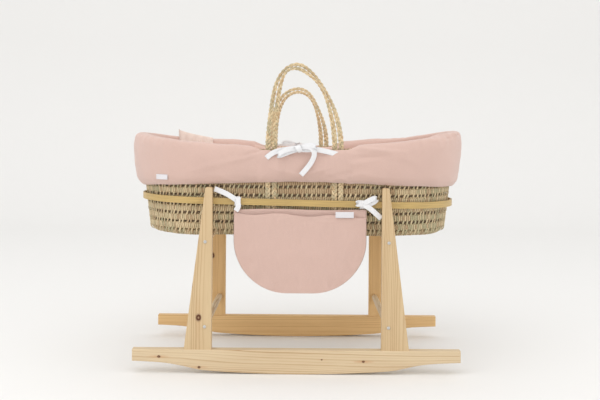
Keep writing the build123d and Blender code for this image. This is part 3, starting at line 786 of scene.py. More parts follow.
def bindings(name, heights):
    """Short slanted strips that bind each coil to the next, over the open slit between them.

    A strip's ends dip into the coils: its radius falls by 1.6 mm times t^4, with t from -1 to 1 over it.
    """
    size = basket()
    rng = np.random.default_rng(5)
    count = round(OVAL_LENGTH / size.stitch)
    stations, reach = 5, 0.0062
    t = np.linspace(-1, 1, stations)
    start = (np.arange(count) + rng.uniform(-0.18, 0.18, (len(heights), count))) / count
    slant = rng.uniform(0.0008, 0.0030, start.shape)
    height = np.array(heights)[:, None, None] + reach * t
    along = start[..., None] + slant[..., None] * t / OVAL_LENGTH
    proud = 0.0004 + rng.uniform(-0.0002, 0.0004, start.shape)[..., None]
    radius = wall_radius(height) + proud - 0.0016 * t ** 4
    paths = oval(along, radius, height)
    beside = unit(oval(along + 0.001, radius, height) - paths)
    width = rng.uniform(0.0036, 0.0052, start.shape)[..., None]
    shape = (-1, stations, 3)
    width = np.broadcast_to(width, along.shape).reshape(-1, stations)
    return grids(name, tubes(paths.reshape(shape), beside.reshape(shape), width, 0.0015, around=6, power=0.8))


def weave_basket():
    """Wall, floor and border, in pieces small enough to edit. A coil stands flat against the wall's lean."""
    size = basket()
    first = BASE + 0.0147
    leaf = palm_wall()
    half = 0.006

    def level(k):
        """Coil number k of the wall, counted from the bottom."""
        height = first + size.row * (k + 0.5)
        return (wall_radius(height) - half, height, math.atan(size.lean), 2 * half, k)

    foot = [(wall_radius(BASE) - 0.0125, BASE + 0.0105, math.radians(42), 0.011, 20),
            (wall_radius(BASE) - 0.0330, BASE + 0.0062, math.radians(82), 0.011, 21)]
    wall = coils("woven_wall_lower", [level(k) for k in range(3)] + foot[:1], 6, 10)
    place(wall, "basket", leaf, ["basket_wall"])
    place(coils("woven_wall_middle", [level(k) for k in range(3, 6)], 6, 10), "basket", leaf)
    place(coils("woven_wall_upper", [level(k) for k in range(6, 9)], 3, 8), "basket", leaf)
    look = finishes()
    strips = palm_strands("palm leaf strips", tuple(look.palm_pale), tuple(look.palm_green),
                          tuple(look.palm_brown))
    heights = [first + size.row * k for k in range(7)]
    place(bindings("coil_bindings", heights), "basket", strips)
    rings = [(FLOOR_RADIUS - size.row * (k + 0.35), BASE + 0.006, math.pi / 2, 0.0105, 30 + k)
             for k in range(6)]
    floor = coils("woven_floor", foot[1:] + rings, 3, 8)
    place(floor, "basket", leaf, ["basket_floor"])
    # Painted shade: the band behind the slits is leaf brown cut to about a third, for the shade between the
    # coils.
    dark = tinted(look.palm_brown, (0.34, 0.27, 0.26))
    shade_band_behind_slits(palm_strands("shaded leaf", dark, dark, dark))
    weave_border(leaf)


def shade_band_behind_slits(shaded):
    """A plain dark band of painted shade behind the slits, 7.5 to 10.5 mm inside the wall's face, so that the
    slits between the coils look shaded.
    """
    count = 240
    along = np.arange(count) / count
    low, high = BASE + 0.012, BASE + basket().rim - 0.006
    near, deep = 0.0075, 0.0105
    corners = [(wall_radius(low) - deep, low), (wall_radius(low) - near, low),
               (wall_radius(high) - near, high), (wall_radius(high) - deep, high)]
    inner = padded_ring(corners, 12, along)
    place(grids("slit_shade_band", inner, closed_along=True), "basket", shaded)


def weave_border(leaf):
    """Three slim canes that finish the wall, one above another, each wound along the rim's curve.

    A cane's section is an ellipse, swollen by 0.5 mm times |sin(pi u)|^0.6 over each winding.
    """
    count, windings, around, inset = 900, 210, 8, 0.006
    along = np.arange(count) / count
    rng = np.random.default_rng(11)
    angle = TAU * (np.arange(around) + 0.5) / around
    drops = np.array([0.0028, 0.0082, 0.0136])[:, None, None]
    x = oval(along, wall_radius(BASE + basket().rim) - inset, 0)[:, 0]
    twist = np.abs(np.sin(math.pi * (along * windings + rng.random((3, 1)))))[..., None] ** 0.6
    height = rim_at(x)[None, :, None] - drops + (0.0022 + 0.0005 * twist) * np.sin(angle)
    radius = wall_radius(height) - inset + (0.0056 + 0.0005 * twist) * np.cos(angle)
    number, step = np.broadcast_arrays(np.arange(3)[:, None, None] + 50,
                                       np.arange(count + 1)[None, :, None] * windings / count)
    uv = np.stack(np.broadcast_arrays(step, number + np.linspace(0.02, 0.98, around + 1)), -1)
    border = grids("rim_canes", oval(along[None, :, None], radius, height), closed_along=True, uv=uv)
    place(border, "basket", leaf, ["basket_rim"])


def strap(name, spine, across, width):
    """Two three-strand plaits side by side along a spine, each over a flat core that stands for the strap's
    under layers, darkened with painted shade.

    With t the turn reached along the spine, strand k swings a*sin(t + 2 pi k/3) across its plait and
    b*sin(2t + 4 pi k/3) out of it, which passes each strand over and under the other two. The swing a is
    0.142 of the strap's width, and b is 1.2 mm.
    """
    strands, cores, per_turn = 6, 2, 18
    length = np.concatenate([[0], np.cumsum(np.linalg.norm(np.diff(spine, axis=0), axis=1))])
    count = int(length[-1] / basket().plait_pitch * per_turn)
    at = np.linspace(0, length[-1], count)
    line = np.stack([np.interp(at, length, spine[:, k]) for k in range(3)], -1)
    side = unit(np.stack([np.interp(at, length, across[:, k]) for k in range(3)], -1))
    wide = np.interp(at, length, width)
    forward = unit(np.gradient(line, axis=0))
    side = unit(side - forward * (side * forward).sum(-1, keepdims=True))
    out = np.cross(forward, side)
    half = np.repeat([-1, 1], 3)[:, None]
    start = np.tile(np.arange(3), 2)[:, None] * TAU / 3 + 0.4 * half
    phase = TAU * (at / basket().plait_pitch) * half + start
    shift = wide * (0.25 * half + 0.142 * np.sin(phase))
    lift = 0.0012 * np.sin(2 * phase)
    paths = line + side * shift[..., None] + out * lift[..., None]
    beside = np.broadcast_to(side, paths.shape) + out * (0.35 * np.cos(2 * phase))[..., None]
    heart = line + side * (wide * 0.25 * np.array([[-1], [1]]))[..., None]
    paths = np.concatenate([paths, heart])
    beside = np.concatenate([beside, np.broadcast_to(side, heart.shape)])
    breadth = wide * np.repeat([0.175, 0.30], [strands, cores])[:, None]
    depth = np.repeat([0.0029, 0.0008], [strands, cores])[:, None] * np.ones_like(breadth)
    obj = grids(name, tubes(paths, beside, breadth, depth, around=8, power=0.8))
    caps = 2 * (strands + cores)
    sides = (len(obj.data.polygons) - caps) // (strands + cores)
    dark = np.concatenate([np.repeat([0, 1], [sides * strands, sides * cores]),
                           np.tile(np.repeat([0, 1], [strands, cores]), 2)])
    obj.data.polygons.foreach_set("material_index", dark.astype(np.int32))
    return obj


def arch_widths(count, widths):
    """Widths over an arch: the first at both feet, running evenly to the second, which the middle keeps."""
    foot, crown = widths
    return np.interp(np.linspace(-1, 1, count), [-1, -0.45, 0.45, 1], [foot, crown, crown, foot])


def handle_line(side_of_basket, left, right, arch, widths):
    """Spine of a handle: up the wall, over the arch and down, as points, side vectors and widths.

    arch is (x, height, apparent share of the width) from the left foot to the right. The strap turns about
    its own line where the share is small: its width leans out of the arch's plane by acos(share).
    """
    low = span(left)[0][2] + 0.002
    face = 0.0026
    foot_x = [(span(node)[0][0] + span(node)[1][0]) / 2 for node in (left, right)]
    heights = np.linspace(low, BASE + basket().rim - 0.004, 8)
    plane = wall_radius(BASE + basket().rim) + face
    up = [(foot_x[0], wall_radius(h) + face, h, widths[0], 1.0) for h in heights]
    down = [(foot_x[1], wall_radius(h) + face, h, widths[0], 1.0) for h in heights[::-1]]
    narrow = arch_widths(len(arch), widths)
    top = [(x, plane, h, w, share) for (x, h, share), w in zip(arch, narrow)]
    line = open_curve(np.array(up + top + down), 600)
    share = np.clip(line[:, 4], 0.25, 1)
    spine = np.stack([line[:, 0], side_of_basket * line[:, 1], line[:, 2]], -1)
    forward = unit(np.gradient(spine, axis=0))
    level = unit(np.cross(forward, (0, 1.0, 0)))
    lean = np.sqrt(1 - share ** 2)[:, None] * np.array([0, 1.0, 0])
    return spine, level * share[:, None] + lean, line[:, 3]


def plait_handles():
    """Both handles, each plaited in one piece with the bands that carry it."""
    look = finishes()
    leaf = palm_strands("plaited leaf", tuple(look.plait), tinted(look.plait, (0.55, 0.60, 0.60)),
                        tinted(look.plait, (0.62, 0.48, 0.34)), turns=85.0)
    # Painted shade: the cores take a fifth of the plait's tone, as the shade seen through the plait's gaps.
    shade = tinted(look.plait, 0.20)
    heart = palm_strands("shaded plait", shade, shade, shade)
    front = [(-0.0645, 0.560, 1), (-0.0610, 0.610, 1), (-0.0555, 0.662, 1), (-0.0480, 0.703, 1),
             (-0.0330, 0.733, 0.5), (-0.0100, 0.7425, 0.9), (0.0080, 0.7395, 1), (0.0270, 0.7265, 0.85),
             (0.0480, 0.7065, 0.5), (0.0670, 0.6760, 0.55), (0.0825, 0.6380, 0.9), (0.0920, 0.6000, 1),
             (0.0972, 0.560, 1)]
    rear = [(-0.0730, 0.560, 1), (-0.0695, 0.605, 1), (-0.0600, 0.650, 1), (-0.0400, 0.688, 0.9),
            (-0.0020, 0.7045, 0.95), (0.0280, 0.6925, 0.8), (0.0450, 0.6690, 0.45), (0.0590, 0.6330, 0.8),
            (0.0695, 0.595, 1), (0.0730, 0.560, 1)]
    for side, word, arch in ((-1, "front", front), (1, "rear", rear)):
        nodes = [f"{word}_left_handle_band", f"{word}_right_handle_band", f"{word}_handle"]
        obj = strap(f"{word}_plaited_strap", *handle_line(side, nodes[0], nodes[1], arch, (0.0305, 0.0215)))
        obj.data.materials.append(leaf)
        obj.data.materials.append(heart)
        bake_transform(obj)
        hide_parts(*nodes)


# ---------------------------------------------------------------- liner
SKIRT = {}


def slot_share(x, y):
    """1 where the liner is open for a handle, 0 elsewhere, with a short run between."""
    share = np.zeros_like(x)
    for word, side in (("front", -1), ("rear", 1)):
        low = span(f"{word}_left_handle_band")[0][0] - 0.004
        high = span(f"{word}_right_handle_band")[1][0] + 0.004
        inside = smooth(low - 0.038, low + 0.001, x) * (1 - smooth(high - 0.001, high + 0.038, x))
        share = np.where(y * side > 0, inside, share)
    return share


def band_bump(x, y):
    """How much room the skirt leaves for the bands behind it, from 0 to 1."""
    bump = np.zeros_like(x)
    for word, side in (("front", -1), ("rear", 1)):
        for hand in ("left", "right"):
            low, high = span(f"{word}_{hand}_handle_band")
            begun = smooth(low[0] - 0.022, low[0] - 0.002, x)
            over = smooth(high[0] + 0.002, high[0] + 0.022, x)
            near = begun * (1 - over)
            bump = np.where(y * side > 0, np.maximum(bump, near), bump)
    return bump


def surface_normals(points):
    """Unit normals of a grid that is closed both ways, from its neighbours' differences, facing out."""
    along = np.roll(points, -1, 0) - np.roll(points, 1, 0)
    round_it = np.roll(points, -1, 1) - np.roll(points, 1, 1)
    normal = unit(np.cross(along, round_it))
    hub = points.mean(1, keepdims=True)
    return normal * np.sign(((points - hub) * normal).sum(-1).mean())


def crease(points, centre, direction, length, width, depth):
    """A soft fold: a ridge of a Gaussian section, depth*exp(-(d/width)^2), fading over its length."""
    direction = unit(np.array(direction, float))
    away = points - np.array(centre)
    run = away @ direction
    off = np.linalg.norm(away - run[..., None] * direction, axis=-1)
    return depth * np.exp(-(off / width) ** 2) * np.exp(-(run / length) ** 4)


def hem_level(x):
    """Height of the skirt's hem, which falls towards both ends."""
    return SKIRT_LOW[2] + 0.0045 - 0.017 * (np.abs(x) / 0.42) ** 1.8


def pad_skirt():
    """The padded skirt: one section carried round the oval, turned down over the rim and open at the slots.

    A section is a loop of (radius, height) controls: up the outer face, over the crown, down inside the
    rim and back down behind. At the slots it gives way to a second loop that stops at the rim.
    """
    count, around = 1150, 78
    along = np.arange(count) / count
    flat = oval(along, wall_radius(BASE + basket().rim), 0)
    x, y = flat[:, 0], flat[:, 1]
    rim = rim_at(x)
    bottom = hem_level(x) + 0.0008 * np.sin(TAU * along * 5 + 1)
    end = smooth(0.12, 0.34, np.abs(x))
    far = smooth(0, 0.1, y)
    behind = 0.4 + 0.6 * smooth(0.08, 0.26, np.abs(x))
    crown = 0.0075 + 0.0120 * far * (1 - end) * behind - 0.0038 * end
    gap = 0.0018 + 0.0042 * band_bump(x, y)
    slot = slot_share(x, y)
    pad = cloth().skirt_pad * (1 + 0.05 * np.sin(TAU * along * 3))
    mid = 0.5 * bottom + 0.5 * rim
    wall = wall_radius
    folded = [
        (wall(bottom) + gap, bottom + 0.003), (wall(bottom) + gap + 0.0035, bottom - 0.002),
        (wall(bottom) + gap + 0.0085, bottom + 0.0005), (wall(bottom) + gap + 1.15 * pad, bottom + 0.011),
        (wall(bottom) + gap + 1.42 * pad, bottom + 0.028), (wall(mid) + gap + 1.24 * pad, mid + 0.004),
        (wall(rim) + gap + 0.88 * pad, rim - 0.020), (wall(rim) + gap + 0.66 * pad, rim - 0.005),
        (wall(rim) + gap + 0.34 * pad, rim + 0.62 * crown), (wall(rim) - 0.003, rim + crown),
        (wall(rim) - 0.013, rim + 0.8 * crown), (wall(rim) - 0.0205, rim + 0.001),
        (wall(rim) - 0.0215, rim - 0.012), (wall(rim) - 0.0180, rim - 0.022),
        (wall(rim) - 0.0150, rim - 0.012), (wall(rim) - 0.0120, rim - 0.0005),
        (wall(rim) - 0.004, rim + 0.0005), (wall(rim) + gap, rim - 0.003),
        (wall(rim) + gap, rim - 0.020), (wall(mid) + gap, mid), (wall(bottom) + gap, bottom + 0.020)]
    top = rim - 0.0035 + 0.0045 * far
    open_part = [
        (wall(rim) + gap + 0.95 * pad, top - 0.014), (wall(rim) + gap + 0.80 * pad, top - 0.003),
        (wall(rim) + gap + 0.5 * pad, top + 0.002), (wall(rim) + gap + 0.25 * pad, top - 0.001)]
    back = [(wall(rim) + gap, top - 0.004 - 0.003 * k) for k in range(9)]
    opened = folded[:6] + open_part + back + folded[-2:]
    controls = []
    for (r0, z0), (r1, z1) in zip(folded, opened):
        controls.append((r0 + (r1 - r0) * slot, z0 + (z1 - z0) * slot))
    points = padded_ring(controls, around, along)[0]
    normal = surface_normals(points)
    points = points + normal * skirt_relief(points)[..., None]
    SKIRT["points"] = points
    obj = grids("padded_skirt", points[None], closed_along=True)
    place(obj, "basket", cotton("pink cotton", finishes().pink), ["liner_skirt"])


SKIRT_FACE = -0.2
FOLD_FULLNESS = 1.6
# Folds that stand out on the near side and the head end: centre, direction, length, width and depth.
SKIRT_FOLDS = (
    ((0.205, SKIRT_FACE, 0.538), (1, 0, -0.10), 0.060, 0.0050, 0.0032),
    ((0.180, SKIRT_FACE, 0.524), (1, 0, 0.06), 0.050, 0.0042, -0.0024),
    ((0.255, SKIRT_FACE, 0.520), (1, 0, -0.22), 0.050, 0.0050, 0.0024),
    ((0.150, SKIRT_FACE, 0.509), (1, 0, 0.15), 0.040, 0.0045, 0.0018),
    ((-0.112, SKIRT_FACE, 0.530), (1, 0, 0.35), 0.026, 0.0045, -0.0026),
    ((-0.128, SKIRT_FACE, 0.520), (1, 0, 0.28), 0.032, 0.0050, 0.0024),
    ((-0.205, SKIRT_FACE, 0.500), (1, 0, 0.22), 0.050, 0.0060, 0.0016),
    ((0.050, SKIRT_FACE, 0.489), (1, 0, 0.30), 0.050, 0.0055, 0.0017),
    ((0.100, SKIRT_FACE, 0.478), (1, 0, 0.25), 0.060, 0.0055, -0.0015),
    ((-0.030, SKIRT_FACE, 0.486), (1, 0, -0.25), 0.045, 0.0055, 0.0016),
    ((0.372, -0.115, 0.576), (0.80, 0.60, 0.10), 0.050, 0.0050, 0.0040),
    ((0.350, -0.140, 0.567), (0.90, 0.42, 0.16), 0.050, 0.0045, -0.0028),
    ((0.398, -0.085, 0.578), (0.62, 0.78, 0.05), 0.045, 0.0050, -0.0030),
    ((0.300, -0.170, 0.560), (1, 0.15, 0.10), 0.050, 0.0050, 0.0022))


def skirt_relief(points):
    """Height of the skirt's unevenness: soft puffs, slack diagonals, gathers at the ends and named folds."""
    x, y, z = points[..., 0], points[..., 1], points[..., 2]
    radius = np.hypot(np.maximum(np.abs(x) - OVAL_HALF, 0), y)
    outside = smooth(0.170, 0.186, radius)
    rim = rim_at(x)
    drop = np.clip((rim - z) / 0.09, -0.2, 1)
    relief = cloth().puff * ripple(points, 0.085, 3) + 0.0007 * ripple(points, 0.032, 4)
    diagonal = np.sin((0.4 * x + z) * TAU / 0.036 + 2.2 * ripple(points, 0.11, 8))
    slack = smooth(0.1, 0.6, drop) * smooth(-0.35, 0.6, ripple(points, 0.16, 9))
    relief += 0.0013 * np.maximum(diagonal, 0) ** 2 * slack
    ends = smooth(OVAL_HALF - 0.02, OVAL_HALF + 0.07, np.abs(x))
    turn = np.arctan2(np.abs(y), np.maximum(np.abs(x) - OVAL_HALF, 1e-4)) * 0.19
    gather = np.sin(turn * TAU / 0.024 + 1.4 * ripple(points, 0.07, 12))
    relief += 0.0005 * gather * ends * np.exp(-((drop - 0.02) / 0.22) ** 2)
    for centre, way, length, width, depth in SKIRT_FOLDS:
        relief += crease(points, centre, way, length, width, FOLD_FULLNESS * depth)
    hem = np.exp(-((z - hem_level(x) - 0.010) / 0.0016) ** 2)
    return (relief - 0.0006 * hem) * (0.25 + 0.75 * outside)


def pad_lining():
    """The cloth inside the basket, from the floor to under the skirt's fold."""
    count = 620
    along = np.arange(count) / count
    flat = oval(along, wall_radius(BASE + basket().rim), 0)
    rim = rim_at(flat[:, 0]) - 0.0045 * slot_share(flat[:, 0], flat[:, 1]) + 0.003
    low = np.full(count, span("basket_lining")[0][2] + 0.0005)
    rise = [low + 0.003, low + 0.3 * (rim - low), low + 0.7 * (rim - low), rim - 0.008]
    inner = [(wall_radius(z) - 0.0182, z) for z in rise]
    outer = [(wall_radius(z) - 0.0128, z) for z in rise[::-1]]
    fold = [(wall_radius(rim) - 0.0172, rim), (wall_radius(rim) - 0.0138, rim)]
    controls = [(wall_radius(low) - 0.0155, low)] + inner + fold + outer
    points = padded_ring(controls, 56, along)[0]
    upright = np.maximum(ripple(points * (1, 1, 0.35), 0.022, 22), 0)
    relief = 0.0008 * ripple(points, 0.06, 21) + 0.0009 * upright ** 2
    radius = np.hypot(np.maximum(np.abs(points[..., 0]) - OVAL_HALF, 0), points[..., 1])
    inside = smooth(-0.0165, -0.0175, radius - wall_radius(points[..., 2]))
    points = points + surface_normals(points) * (relief * inside)[..., None]
    obj = grids("inner_lining", points[None], closed_along=True)
    place(obj, "basket", cotton("lining cotton", finishes().lining), ["basket_lining"])


def pad_plate(name, node, seed, puff, edge):
    """An oval pad: a profile from the middle of the top, round the edge, to the middle of the underside."""
    low, high = span(node)
    radius = (high[1] - low[1]) / 2
    count = 4 * 120
    along = (np.arange(count) + 0.5) / count
    bottom, top = low[2], min(high[2], low[2] + edge)
    half = (top - bottom) / 2
    turn = np.linspace(math.pi / 2, -math.pi / 2, 17)
    flat = 21
    inward = np.linspace(0, 1, flat + 1)[:-1]
    share = np.concatenate([inward * (radius - half), radius - half + half * np.cos(turn) ** 0.8,
                            (radius - half) * inward[::-1]])
    level = np.concatenate([np.full(flat, top), bottom + half + half * np.sign(np.sin(turn))
                            * np.abs(np.sin(turn)) ** 0.8, np.full(flat, bottom)])
    points = oval(along[:, None], share[None, :], level[None, :])
    lift = puff * (ripple(points * (1, 1, 0), 0.07, seed) - 0.5) * smooth(bottom + half, top, points[..., 2])
    points[..., 2] += lift
    return grids(name, points[None], closed_along=True, closed_round=False, merge=True)


def make_bedding():
    """Mattress, and the quilt over it with one corner turned up behind, painted paler as a highlight."""
    mattress = pad_plate("mattress_pad", "mattress", 31, 0.0006, 0.040)
    cover = cotton("mattress cover", finishes().sheet, 0.04)
    place(mattress, "mattress", cover, ["mattress"])
    quilted = cotton("coverlet cotton", finishes().lining)
    quilt = pad_plate("quilt", "coverlet", 33, 0.0016, 0.012)
    place(quilt, "coverlet", quilted, ["coverlet"])
    low, high = span("coverlet")
    count = 60
    angle = np.linspace(math.pi + 0.10, math.pi + 0.70, count)
    rise = np.array([0.004, 0.05, 0.10, 0.15, 0.185, 0.196])
    top = high[2] - low[2] - 0.003 - 0.024 * np.linspace(1, 0, count) ** 0.7
    heights = low[2] + 0.006 + np.minimum(rise[None, :] / rise[-1] * top[:, None], top[:, None])
    outer = wall_radius(heights) - 0.0195
    thickness = np.array([0.008, 0.009, 0.009, 0.008, 0.007, 0.003])
    inner = outer - thickness - 0.002 * np.sin((angle * 40)[:, None] + heights * 60)
    radius = np.concatenate([outer, inner[:, ::-1]], 1)
    level = np.concatenate([heights, heights[:, ::-1]], 1)
    basis = closed_basis(2 * len(rise), 48)
    radius, level = radius @ basis.T, level @ basis.T
    x = -OVAL_HALF + radius * np.sin(angle)[:, None]
    y = -radius * np.cos(angle)[:, None]
    points = np.stack([x, y, level], -1)
    # Painted highlight: the turned-up corner's cotton is the coverlet's colour lifted towards white, for the
    # light it catches.
    highlit_corner_cotton = cotton("coverlet with painted highlight", tinted(finishes().lining, (1.08, 1.22, 1.26)))
    corner = place(grids("quilt_corner", points[None]), "coverlet", highlit_corner_cotton)


# ---------------------------------------------------------------- tapes and labels
def tape_strands(lines, width, thick=0.0009, stations=40):
    """Flat tapes. lines are (points, side vectors at first and last point), each led by a B-spline."""
    paths, sides = [], []
    for points, first, last in lines:
        paths.append(open_curve(points, stations))
        t = np.linspace(0, 1, stations)[:, None]
        sides.append(unit(np.array(first, float)) * (1 - t) + unit(np.array(last, float)) * t)
    return tubes(np.array(paths), np.array(sides), width, thick, around=8, power=0.35)


def tape_piece(name, lines, body, node, material, width, cut):
    """One tie of flat tape, of the given width. cut, the length it was cut to, is not used."""
    points = tape_strands(lines, width)
    obj = place(grids(name, points), body, material, [node])
    return obj


def bow_lines(at):
    """A liner bow: two tapes that come in, two loops, a long tail and the turn of the knot between them."""
    up = (0, 0, 1)
    return [
        ([at(-0.079, -0.001, -0.020), at(-0.064, 0.001, -0.006), at(-0.040, 0.001, 0.000),
          at(-0.010, 0.002, 0.004)], (-0.5, 0, 1), up),
        ([at(0.098, -0.004, -0.012), at(0.070, 0.000, -0.004), at(0.035, 0.001, 0.003),
          at(0.002, 0.002, 0.004)], (0.3, 0, 1), up),
        ([at(-0.002, 0.004, 0.004), at(-0.020, 0.007, 0.004), at(-0.042, 0.008, -0.004),
          at(-0.054, 0.006, -0.014), at(-0.046, 0.003, -0.014), at(-0.022, 0.003, -0.003),
          at(-0.002, 0.003, 0.002)], (0.2, 0, 1), (0.3, 0, 1)),
        ([at(0.002, 0.004, 0.005), at(0.018, 0.008, 0.011), at(0.034, 0.010, 0.012),
          at(0.041, 0.007, 0.005), at(0.030, 0.004, 0.001), at(0.012, 0.004, 0.001),
          at(0.000, 0.003, 0.001)], (-0.2, 0, 1), (-0.2, 0, 1)),
        ([at(0.002, 0.006, 0.006), at(0.022, 0.009, 0.010), at(0.038, 0.008, -0.002),
          at(0.034, 0.004, -0.022), at(0.020, 0.002, -0.042), at(0.004, 0.001, -0.060)],
         (0, 0, 1), (1, 0, 0.2)),
        ([at(-0.006, 0.001, 0.010), at(-0.006, 0.009, 0.011), at(-0.002, 0.013, 0.004),
          at(0.002, 0.010, -0.004), at(0.004, 0.002, -0.005)], (1, 0, 0.3), (1, 0, 0.2))]


def left_knot_lines(at):
    """The pocket's left tie: a tail flung up to the left, a short one down, and the knot's turn."""
    return [
        ([at(0.003, 0.001, 0.000), at(-0.008, 0.004, 0.008), at(-0.024, 0.003, 0.018),
          at(-0.040, 0.002, 0.025), at(-0.056, 0.003, 0.031)], (0.3, 0, 1), (0.3, 0, 1)),
        ([at(-0.002, 0.002, 0.002), at(0.003, 0.005, -0.006), at(0.002, 0.005, -0.014),
          at(-0.004, 0.004, -0.022)], (1, 0, 0.2), (1, 0, -0.2)),
        ([at(-0.002, -0.002, 0.012), at(0.001, 0.004, 0.010), at(0.002, 0.005, 0.0),
          at(0.0, 0.002, -0.010)], (1, 0, 0), (1, 0, 0.1))]


def right_knot_lines(at):
    """The pocket's right tie: a loop up to the right, a tail down to the right, and a small left loop."""
    return [
        ([at(0.000, 0.002, 0.002), at(0.014, 0.006, 0.010), at(0.028, 0.007, 0.018),
          at(0.034, 0.005, 0.013), at(0.022, 0.003, 0.003), at(0.002, 0.002, 0.000)],
         (-0.3, 0, 1), (-0.4, 0, 1)),
        ([at(0.000, 0.002, 0.000), at(0.014, 0.005, -0.006), at(0.030, 0.005, -0.020),
          at(0.044, 0.004, -0.033)], (0.4, 0, 1), (0.7, 0, 1)),
        ([at(0.000, 0.002, 0.001), at(-0.009, 0.005, 0.002), at(-0.0165, 0.005, 0.001),
          at(-0.013, 0.003, 0.006), at(0.000, 0.002, 0.003)], (0, 0, 1), (0, 0, 1))]


def tie_liner(white):
    """A bow at each of the liner's two slots. The rear one is the front one turned about Z."""
    rim = BASE + basket().rim
    face = 0.2065
    for side, node, middle in ((-1, "front_liner_tie", 0.004), (1, "rear_liner_tie", -0.006)):
        def at(x, forward, z, side=side, middle=middle):
            """A place near the knot: x to the right as seen from outside, forward out of the skirt."""
            return (middle - side * x, side * face + side * forward, rim + z)

        tape_piece(f"{node}_bow", bow_lines(at), "basket", node, white,
                   cloth().tape, cloth().liner_tie)


def tie_pocket(white):
    """The pocket's ties: a ring round the hoop, and a knot in front of it.

    The left knot hangs over the pocket's corner below the hoop, so it is given no body.
    """
    y = HOOP_LOW[1] + 0.0025
    inset, hoop_middle, hoop_slope = 0.009, 0.410, math.radians(1.0)
    low, high = span("pocket_back_panel")
    for side, x, knot in (("left", low[0] + inset, left_knot_lines),
                          ("right", high[0] - inset, right_knot_lines)):
        z = hoop_middle - x * math.sin(hoop_slope)
        ring = [(x + 0.002 * math.sin(a), y - 0.0045 * math.cos(a), z + 0.0105 * math.sin(a))
                for a in np.linspace(-0.2, TAU + 0.2, 12)]

        def at(across, forward, up, x=x, z=z):
            """A place near the knot, just in front of the hoop."""
            return (x + across, y - 0.0055 - forward, z + up)

        node = f"pocket_{side}_tie"
        tie = tape_piece(f"{node}_knot", [(ring, (1, 0, 0), (1, 0, 0))] + knot(at),
                         "stand" if side == "right" else None, node, white,
                         cloth().pocket_tape, cloth().pocket_tie)
        if side == "left":
            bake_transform(tie)


def tie_tapes():
    """Liner bows at the slots, and the pocket's ties round the hoop."""
    white = cotton("white tape", finishes().tape, 0.03, 0.00015)
    tie_liner(white)
    tie_pocket(white)


def sew_labels():
    """Two blank woven labels, one at the skirt's foot-end curve and one at the pocket's hem.

    The first follows the skirt's outermost points at its height. The second runs straight, with a wave of
    0.4 mm.
    """
    blank = cotton("blank label", finishes().label, 0.02, 0.0002)
    thick = 0.0008
    low, high = span("liner_tag")
    middle = (low + high) / 2
    angle = math.atan2(-middle[0] - OVAL_HALF, -middle[1])
    points = SKIRT["points"].reshape(-1, 3)
    away = np.hypot(points[:, 0] + OVAL_HALF, points[:, 1])
    turned_by = np.arctan2(-points[:, 0] - OVAL_HALF, -points[:, 1])
    line = []
    for turn in np.linspace(angle - 0.092, angle + 0.092, 7):
        near = (np.abs(turned_by - turn) < 0.03) & (np.abs(points[:, 2] - middle[2]) < 0.007)
        radius = away[near].max() + 0.0005
        line.append((-OVAL_HALF - radius * math.sin(turn), -radius * math.cos(turn), middle[2]))
    shape = tape_strands([(line, (0, 0, 1), (0, 0, 1))], high[2] - low[2], thick)
    tag = place(grids("skirt_label", shape), "basket", blank, ["liner_tag"])
    low, high = span("pocket_tag")
    level = span("pocket_back_panel")[1][2] - 0.0045 - (high[2] - low[2]) / 2
    line = [(x, low[1] - 0.0010 - 0.0004 * math.sin((x - low[0]) * 140), level)
            for x in np.linspace(low[0], high[0], 5)]
    shape = tape_strands([(line, (0, 0, 1), (0, 0, 1))], high[2] - low[2], thick)
    tag = place(grids("pocket_label", shape), "pocket", blank, ["pocket_tag"])


# ---------------------------------------------------------------- pocket
POCKET_HALF, POCKET_DEPTH = 0.16, 0.2  # rounded sizes that turn shares of a panel into metres


def half_moon_grid(node, across, down):
    """Places over a pocket panel: shares across and down it, and x and z. The lower corners are round."""
    low, high = span(node)
    corner = 0.130
    u = np.linspace(-1, 1, across)
    v = 1 - (1 - np.linspace(0, 1, down)) ** 1.35
    depth = v * (high[2] - low[2])
    rest = np.maximum(depth - (high[2] - low[2] - corner), 0)
    half = (high[0] - low[0]) / 2 - corner + np.sqrt(np.maximum(corner ** 2 - rest ** 2, 0))
    x = (low[0] + high[0]) / 2 + u[:, None] * half[None, :]
    return np.broadcast_arrays(u[:, None], v[None, :], x, high[2] - depth[None, :])


def pocket_sheet(name, node, lift, pad, relief, mouth):
    """A padded panel: its face stands at lift from the back plane and its thickness falls to the edges.

    lift is a function of the shares across and down, relief of those and x and z, and mouth of the share
    across: how far the top edge hangs below the node's.
    """
    across, down = 150, 90
    u, v, x, z = half_moon_grid(node, across, down)
    z = z - mouth(u) * (1 - v) ** 3
    rear = span("pocket_back_panel")[1][1]
    edge = np.minimum((1 - np.abs(u)) * POCKET_HALF, np.minimum(v * POCKET_DEPTH, (1 - v) * POCKET_DEPTH))
    fat = np.sqrt(np.clip(edge / 0.010, 0, 1))
    face = rear - lift(u, v)
    front = face - 0.5 * pad * fat + relief(u, v, x, z) * fat
    back = face + 0.5 * pad * fat
    level = np.concatenate([front, back[:, ::-1]], 1)
    points = np.stack([np.concatenate([x, x[:, ::-1]], 1), level, np.concatenate([z, z[:, ::-1]], 1)], -1)
    return grids(name, points[None])


